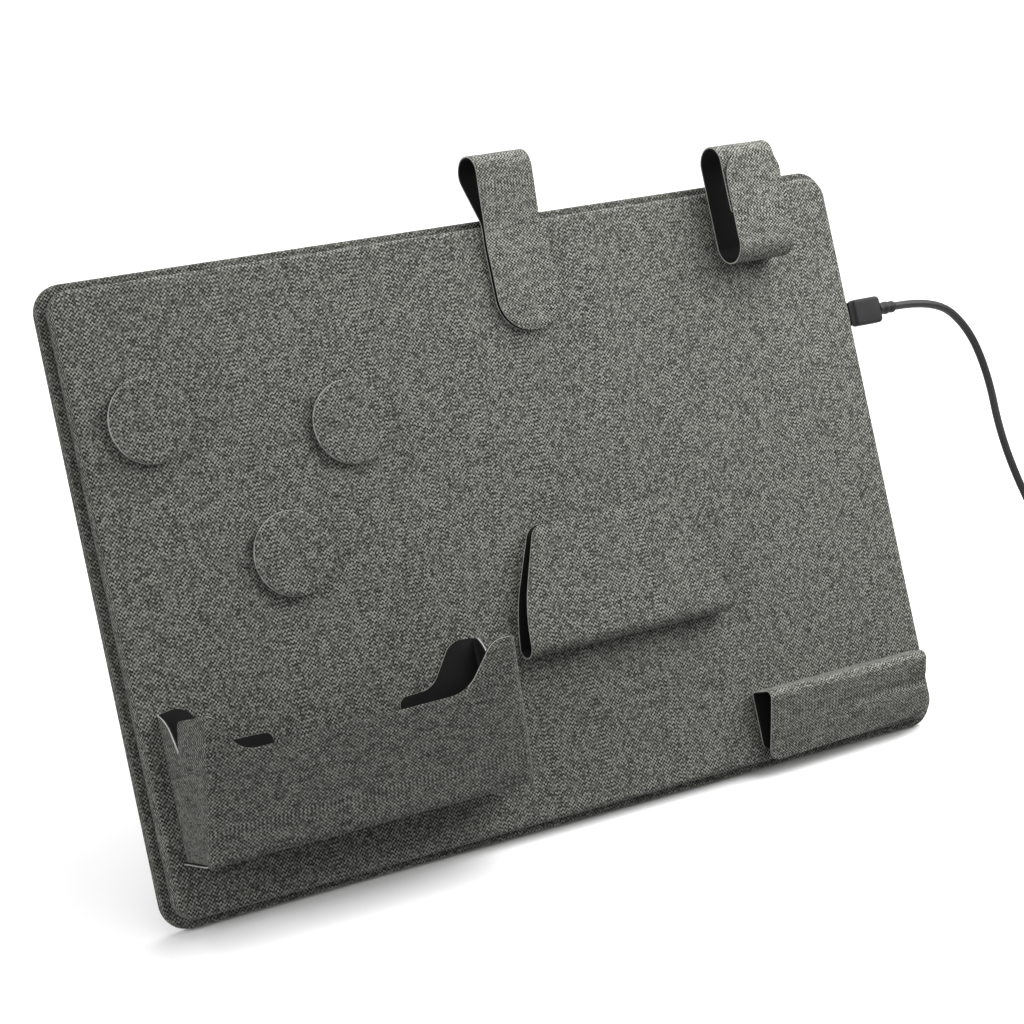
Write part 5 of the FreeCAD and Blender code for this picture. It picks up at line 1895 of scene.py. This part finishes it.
@dataclass
class CableKeeper:
    """Strap bent into a standing loop, and the flap that laps its free end."""

    finishes: Finishes
    middle: float = 119.0
    width: float = 24.6
    bottom: float = 188.0
    crown: float = 233.0
    back: float = 9.5
    lap_front: float = 23.4
    flap_front: float = 24.8
    lap_end: float = 206.0
    lap_round: float = 2.0
    heel: float = 196.65
    flap_top: float = 229.0
    flap_lift: Point = (214.0, 24.9)
    flap_tip: float = 26.1
    flap_bend: float = 40.0
    flap_round: float = 9.5
    gauge: float = 1.0
    soft: float = 0.08

    def build(self) -> None:
        """Makes the strap and its flap."""
        crown_radius = (self.lap_front - self.back) / 2
        bend_radius = (self.flap_front - self.back) / 2
        corners = (
            (self.lap_end, self.lap_front),
            (self.crown, self.lap_front),
            (self.crown, self.back),
            (self.bottom, self.back),
            (self.bottom, self.flap_front),
            (self.heel, self.flap_front),
        )
        cloth = self.finishes
        materials = [cloth.strap_cloth_painted_light, cloth.lining, cloth.edge]
        loop = FoldPath(corners, (crown_radius, crown_radius, bend_radius, bend_radius))
        strap = self._strap(loop, dict.fromkeys((0, 3), self.lap_round), seed=31.0)
        finish_piece(strap, "keeper_loop", materials, "cable_keeper", "keeper_strap")
        corners = ((self.heel, self.flap_front), self.flap_lift, (self.flap_top, self.flap_tip))
        lift = FoldPath(corners, (self.flap_bend,))
        flap = self._strap(lift, dict.fromkeys((1, 2), self.flap_round), seed=37.0)
        finish_piece(flap, "keeper_cover", materials, "keeper_flap", "keeper_flap")

    def _strap(self, path: FoldPath, rounds: dict[int, float], seed: float) -> Shape:
        """Cuts and bends a strap of the keeper's width.

        Args:
            path: Its line, up and out from the panel.
            rounds: How far the rounding of its corners reaches.
            seed: Shifts its unevenness.

        Returns:
            The thick strap.
        """
        sheet = cut_strap(path, self.width / 2, rounds)
        fold(sheet, lambda along, across: (self.middle + across, *path.at(along)), flip=True)
        waves = {"depth": 0.12, "scale": 0.08, "seed": seed}
        return lined_board(sheet, self.gauge, self.back, **waves, soft=self.soft)


@dataclass
class RearLeg:
    """Hinged leg behind the panel, whose solids have the right shape already."""

    finishes: Finishes

    def build(self) -> None:
        """Dresses the leg and its hinge."""
        dress(self.finishes.leg, "leg_wrap")
        dress(self.finishes.card, "leg_core")
        dress(self.finishes.felt, "leg_lining")
        dress(self.finishes.hinge, "hinge_leaf_board", "hinge_leaf_leg", "hinge_pin")
        dress(self.finishes.rivet, "board_rivets", "leg_rivets")


@dataclass
class InnerLayers:
    """Layers and magnets inside the boards and holders."""

    finishes: Finishes

    def build(self) -> None:
        """Dresses the hidden solids."""
        made = self.finishes
        dress(made.card, "rear_core", "front_core")
        dress(made.steel, "steel_sheet")
        dress(made.foam, "foam_pad")
        dress(made.ferrite, "ferrite_disc")
        dress(made.winding, "charging_coil")
        dress(made.circuit, "circuit_board")
        dress(made.bright, "charge_socket")
        dress(
            made.magnet,
            "disc_upper_left_magnet",
            "disc_upper_right_magnet",
            "disc_lower_magnet",
            "tray_magnets",
            "pocket_magnets",
            "ledge_magnets",
            "pen_magnet",
            "flap_magnet",
        )
        dress(made.lining, "keeper_magnet")


@dataclass
class PowerLead:
    """Plug in the panel's edge, its lead, the tied coil of spare lead and the far plug."""

    finishes: Finishes
    diameter: float = 0.0032
    length: float = 0.968
    route: tuple[Place, ...] = (
        (0.1855, 0.011095, 0.151464),
        (0.2060, 0.011095, 0.151464),
        (0.2220, 0.0085, 0.1385),
        (0.2295, 0.0030, 0.1185),
        (0.2285, -0.0070, 0.0970),
        (0.2325, -0.0175, 0.0750),
        (0.2415, -0.0265, 0.0530),
        (0.2530, -0.0315, 0.0325),
        (0.2675, -0.0335, 0.0150),
        (0.2848, -0.0340, 0.00275),
    )
    tail: tuple[Place, ...] = (
        (0.3182, -0.0340, 0.0065),
        (0.3290, -0.0304, 0.0048),
        (0.3366, -0.0224, 0.0040),
        (0.3394, -0.0120, 0.0040),
    )
    coil_start: Place = (0.3040, -0.0340, 0.00275)
    coil_first: float = 0.0222875
    coil_step: float = 0.001875
    coil_layer: float = 0.00375
    half_turns: tuple[int, ...] = (0, 1, 2, 3, 4, 5, 4, 3, 2, 1, 0, -1)
    half_turn_points: int = 6
    climb: int = 5
    grip_size: Place = (13.2, 10.4, 5.0)
    grip_place: Place = (170.9, 162.0, 6.95)
    # Block between the grip and the panel that paints the shade of the gap there.
    shaded_gap_size: Place = (2.6, 9.0, 3.6)
    shaded_gap_place: Place = (163.4, 162.0, 6.95)
    sleeve_place: Place = (177.5, 162.0, 6.95)
    sleeve: tuple[Point, ...] = (
        (2.6, -0.3),
        (2.6, 0.7),
        (2.2, 1.1),
        (2.2, 2.2),
        (2.5, 2.6),
        (2.5, 3.9),
        (2.1, 4.3),
        (2.1, 5.4),
        (2.3, 5.8),
        (2.3, 7.0),
        (1.9, 7.6),
        (1.7, 8.0),
        (1.3, 8.0),
    )
    far_sleeve: tuple[Point, ...] = (
        (1.3, 0.0),
        (1.9, 0.0),
        (2.1, 0.4),
        (2.1, 1.2),
        (1.85, 1.5),
        (2.0, 1.8),
        (2.25, 2.2),
        (2.25, 3.0),
        (2.0, 3.3),
        (2.15, 3.7),
        (2.4, 4.0),
        (2.4, 5.0),
        (2.3, 5.4),
        (2.7, 6.2),
        (2.9, 7.2),
    )
    far_start: float = 7.0
    far_size: Place = (24.0, 15.6, 8.0)
    far_round: float = 1.5
    rest_inset: float = 3.2
    rest_depth: float = 0.4
    tie_laps: Point = (4.0, 3.0)
    tie_rise: float = 0.75
    tie_bend: float = 2.0
    tie_gauge: float = 0.7

    def build(self) -> None:
        """Makes the lead and the pieces on it."""
        self._grip()
        turn = Matrix.Rotation(math.pi / 2, 4, "Y")
        place = PANEL @ Matrix.Translation(self.sleeve_place) @ turn
        self._sleeve("plug_sleeve", self.sleeve, place, "strain_relief")
        tie = self._tie()
        far_grip = self._far_grip()
        far_relief = self._sleeve("far_sleeve", self.far_sleeve, self._far_place(turn), "far_relief")
        dress(self.finishes.bright, "plug_shell", "far_shell")
        dress(self.finishes.contact, "far_tongue")
        lead = self._lead()
        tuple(self.route[0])
        self.length

    def _coil(self) -> list[Place]:
        """Points of the coil: half turns that spiral in, climb a layer and spiral out.

        Returns:
            The points.
        """
        points = []
        place = Vector(self.coil_start)
        side = 1
        for number, step in enumerate(self.half_turns):
            radius = self.coil_first - self.coil_step * step
            centre = place + Vector((0, radius * side, 0))
            rise = self.coil_layer if number == self.climb else 0.0
            for part in range(self.half_turn_points):
                angle = side * math.pi / -2 + part * math.pi / self.half_turn_points
                spot = centre + radius * Vector((math.cos(angle), math.sin(angle), 0))
                spot.z = place.z + rise * part / self.half_turn_points
                points.append(tuple(spot))
            place = place + Vector((0, 2 * radius * side, rise))
            side = -side
        points.append(tuple(place))
        return points

    def _lead(self) -> bpy.types.Object:
        """Makes the lead as one smooth line through its route, its coil and its tail.

        Returns:
            The lead.
        """
        line = bpy.data.curves.new("lead", "CURVE")
        line.dimensions = "3D"
        line.bevel_depth = self.diameter / 2
        line.bevel_resolution = 5
        line.use_fill_caps = True
        line.resolution_u = 8
        points = list(self.route) + self._coil() + list(self.tail)
        spline = line.splines.new("NURBS")
        spline.points.add(len(points) - 1)
        for spot, place in zip(spline.points, points):
            spot.co = (*place, 1.0)
        spline.order_u = 3
        spline.use_endpoint_u = True
        line.materials.append(self.finishes.cord)
        lead = bpy.data.objects.new("lead", line)
        bpy.context.scene.collection.objects.link(lead)
        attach(lead, "power_plug")
        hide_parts("power_cord", "cord_coil", "cord_tail")
        LOG.info("lead: %d points", len(points))
        return lead

    def _grip(self) -> None:
        """Makes the near plug's moulded grip and the dark set-back block between it and the panel,
        which paints the shade of the gap there.
        """
        grip = slab(self.grip_size, corner=1.8, front_round=1.2, back_round=1.2)
        shift(grip, self.grip_place)
        shaded_gap = slab(self.shaded_gap_size, corner=0.5, front_round=0.5, back_round=0.5)
        shift(shaded_gap, self.shaded_gap_place)
        # The block takes the darker plastic as painted shade of the gap.
        for face in shaded_gap.faces:
            face.material_index = 1
        materials = [self.finishes.grip, self.finishes.shaded_gap]
        whole = joined(grip, shaded_gap)
        finish_piece(whole, "plug_body", materials, "power_plug", "plug_grip")

    def _sleeve(
        self, name: str, outline: Sequence[Point], place: Matrix, node: str
    ) -> bpy.types.Object:
        """Spins the ribbed sleeve where the lead leaves a plug.

        Args:
            name: The piece's name.
            outline: Reach and distance along its axis.
            place: Where the sleeve's own frame lies.
            node: The solid that it stands for.

        Returns:
            The sleeve.
        """
        shape = spun(outline, steps=28)
        materials = [self.finishes.grip]
        return finish_piece(shape, name, materials, "power_plug", node, place)

    def _far_place(self, turn: Matrix) -> Matrix:
        """Where the far plug lies on the floor.

        Args:
            turn: Turns the piece's own frame so that it points along the plug.

        Returns:
            The place, from millimetres.
        """
        before, end = self.tail[-2:]
        heading = math.atan2(end[1] - before[1], end[0] - before[0])
        return Matrix.Translation(end) @ Matrix.Rotation(heading, 4, "Z") @ TO_METRES @ turn

    def _far_grip(self) -> bpy.types.Object:
        """Makes the far plug's moulded grip with a sunk thumb rest.

        Returns:
            The grip.
        """
        shape = cuboid(self.far_size)
        for direction in (1, -1):
            faces = [face for face in shape.faces if face.normal.z * direction > 0.9]
            bmesh.ops.inset_region(shape, faces=faces, thickness=self.rest_inset, depth=0.0)
            sunk = list({vert for face in faces for vert in face.verts})
            bmesh.ops.translate(shape, vec=(0, 0, -self.rest_depth * direction), verts=sunk)
        half_long, half_wide = self.far_size[0] / 2, self.far_size[1] / 2

        def is_outer(edge: Edge) -> bool:
            """Whether an edge lies on the grip's sides or ends."""
            return all(
                abs(abs(vert.co.x) - half_long) < MERGE or abs(abs(vert.co.y) - half_wide) < MERGE
                for vert in edge.verts
            )

        round_off(shape, edges_where(shape, is_outer), self.far_round, segments=5)
        place = self._far_place(Matrix.Translation((self.far_start + half_long, 0, 0)))
        grip = [self.finishes.grip]
        return finish_piece(shape, "far_body", grip, "power_plug", "far_grip", place)

    def _tie(self) -> bpy.types.Object:
        """Makes the strap round the coil, with its free end lapped on top.

        Returns:
            The strap.
        """
        low, high = (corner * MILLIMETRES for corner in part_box("cord_tie"))
        middle = (low.x + high.x) / 2
        corners = (
            (middle + self.tie_laps[0], high.z),
            (low.x, high.z),
            (low.x, low.z),
            (high.x, low.z),
            (high.x, high.z),
            (middle - self.tie_laps[1], high.z + self.tie_rise),
        )
        path = FoldPath(corners, (self.tie_bend,) * 4)
        half = (high.y - low.y) / 2
        whole = path.length
        outline = [(0.0, -half), (whole, -half), (whole, half), (0.0, half)]
        sheet = cut_sheet(outline, dict.fromkeys((1, 2), self.tie_bend))
        crease(sheet, path.creases(STRAP_STRIP), rows(STRAP_STRIP / 2, 1))
        centre = (high.y + low.y) / 2

        def place(along: float, across: float) -> Place:
            """Bent place of a point of the strap."""
            x, z = path.at(along)
            return x, centre + across, z

        fold(sheet, place, flip=True)
        thick = thicken(sheet, self.tie_gauge)
        materials = [self.finishes.strap] * len(Side)
        return finish_piece(thick, "coil_tie", materials, "power_plug", "cord_tie", TO_METRES)


@dataclass
class Studio:
    """Camera at the photograph's angle, soft lights and a pale floor."""

    eye: Place = (-0.5096, -0.8142, 0.4496)
    ahead: Place = (0.5, 0.7972, -0.3384)
    lens: float = 98.8
    sensor: float = 36.0
    nearest: float = 0.01
    sky: float = 0.46
    floor_half: float = 6.0
    floor_level: float = -0.0003

    def build(self) -> None:
        """Makes the camera, the lights and the floor."""
        scene = bpy.context.scene
        camera = bpy.data.cameras.new("camera")
        camera.lens = self.lens
        camera.sensor_width = self.sensor
        camera.clip_start = self.nearest
        holder = bpy.data.objects.new("camera", camera)
        holder.location = self.eye
        holder.rotation_euler = Vector(self.ahead).to_track_quat("-Z", "Y").to_euler()
        scene.collection.objects.link(holder)
        scene.camera = holder
        middle = (0.0, 0.0, 0.1)
        self._light("key_light", (0.36, -0.18, 0.52), middle, size=0.5, power=5.7)
        self._light("fill_light", (-1.5, -0.3, 0.7), middle, size=1.0, power=16.0)
        self._light("top_light", (0.1, 0.3, 1.6), middle, size=1.0, power=8.0)
        self._light("back_light", (0.8, 1.3, 1.4), (0.8, 1.3, 0.0), size=1.4, power=30.0)
        world = bpy.data.worlds.new("studio")
        world.use_nodes = True
        Graph(world.node_tree).feed(
            world.node_tree.nodes["Background"], {"Color": grey(1.0), "Strength": self.sky}
        )
        scene.world = world
        scene.view_settings.view_transform = "Standard"
        self._floor()

    def _light(self, name: str, place: Place, aim: Place, size: float, power: float) -> None:
        """Adds a square light.

        Args:
            name: Its name.
            place: Where it hangs.
            aim: The point that it faces.
            size: Its side.
            power: Its power in watts.
        """
        light = bpy.data.lights.new(name, "AREA")
        light.size = size
        light.energy = power
        holder = bpy.data.objects.new(name, light)
        holder.location = place
        holder.rotation_euler = (Vector(aim) - Vector(place)).to_track_quat("-Z", "Y").to_euler()
        holder.visible_camera = False
        bpy.context.scene.collection.objects.link(holder)

    def _floor(self) -> None:
        """Lays the floor just under the part."""
        shape = bmesh.new()
        bmesh.ops.create_grid(shape, x_segments=2, y_segments=2, size=self.floor_half)
        shift(shape, (0, 0, self.floor_level))
        mesh = bpy.data.meshes.new("floor")
        shape.to_mesh(mesh)
        shape.free()
        flat = {"relief": 0.0, "strength": 0.0}
        pale = Plain("floor", grey(0.86), grey(0.88), 0.7, 0.8, 40.0, patch=3.0, **flat)
        mesh.materials.append(pale.material())
        floor = bpy.data.objects.new("floor", mesh)
        floor.visible_diffuse = False
        bpy.context.scene.collection.objects.link(floor)


def main() -> None:
    """Builds every sub-assembly and the studio."""
    logging.basicConfig(level=logging.INFO, format="%(name)s: %(message)s")
    Studio().build()
    finishes = Finishes()
    for part in (
        PowerLead(finishes),
        PanelBoards(finishes),
        InnerLayers(finishes),
        RearLeg(finishes),
        MagnetDiscs(finishes),
        FoldedTray(finishes),
        CardPocket(finishes),
        PhoneLedge(finishes),
        PenLoop(finishes),
        CableKeeper(finishes),
    ):
        part.build()


if __name__ == "__main__":
    main()
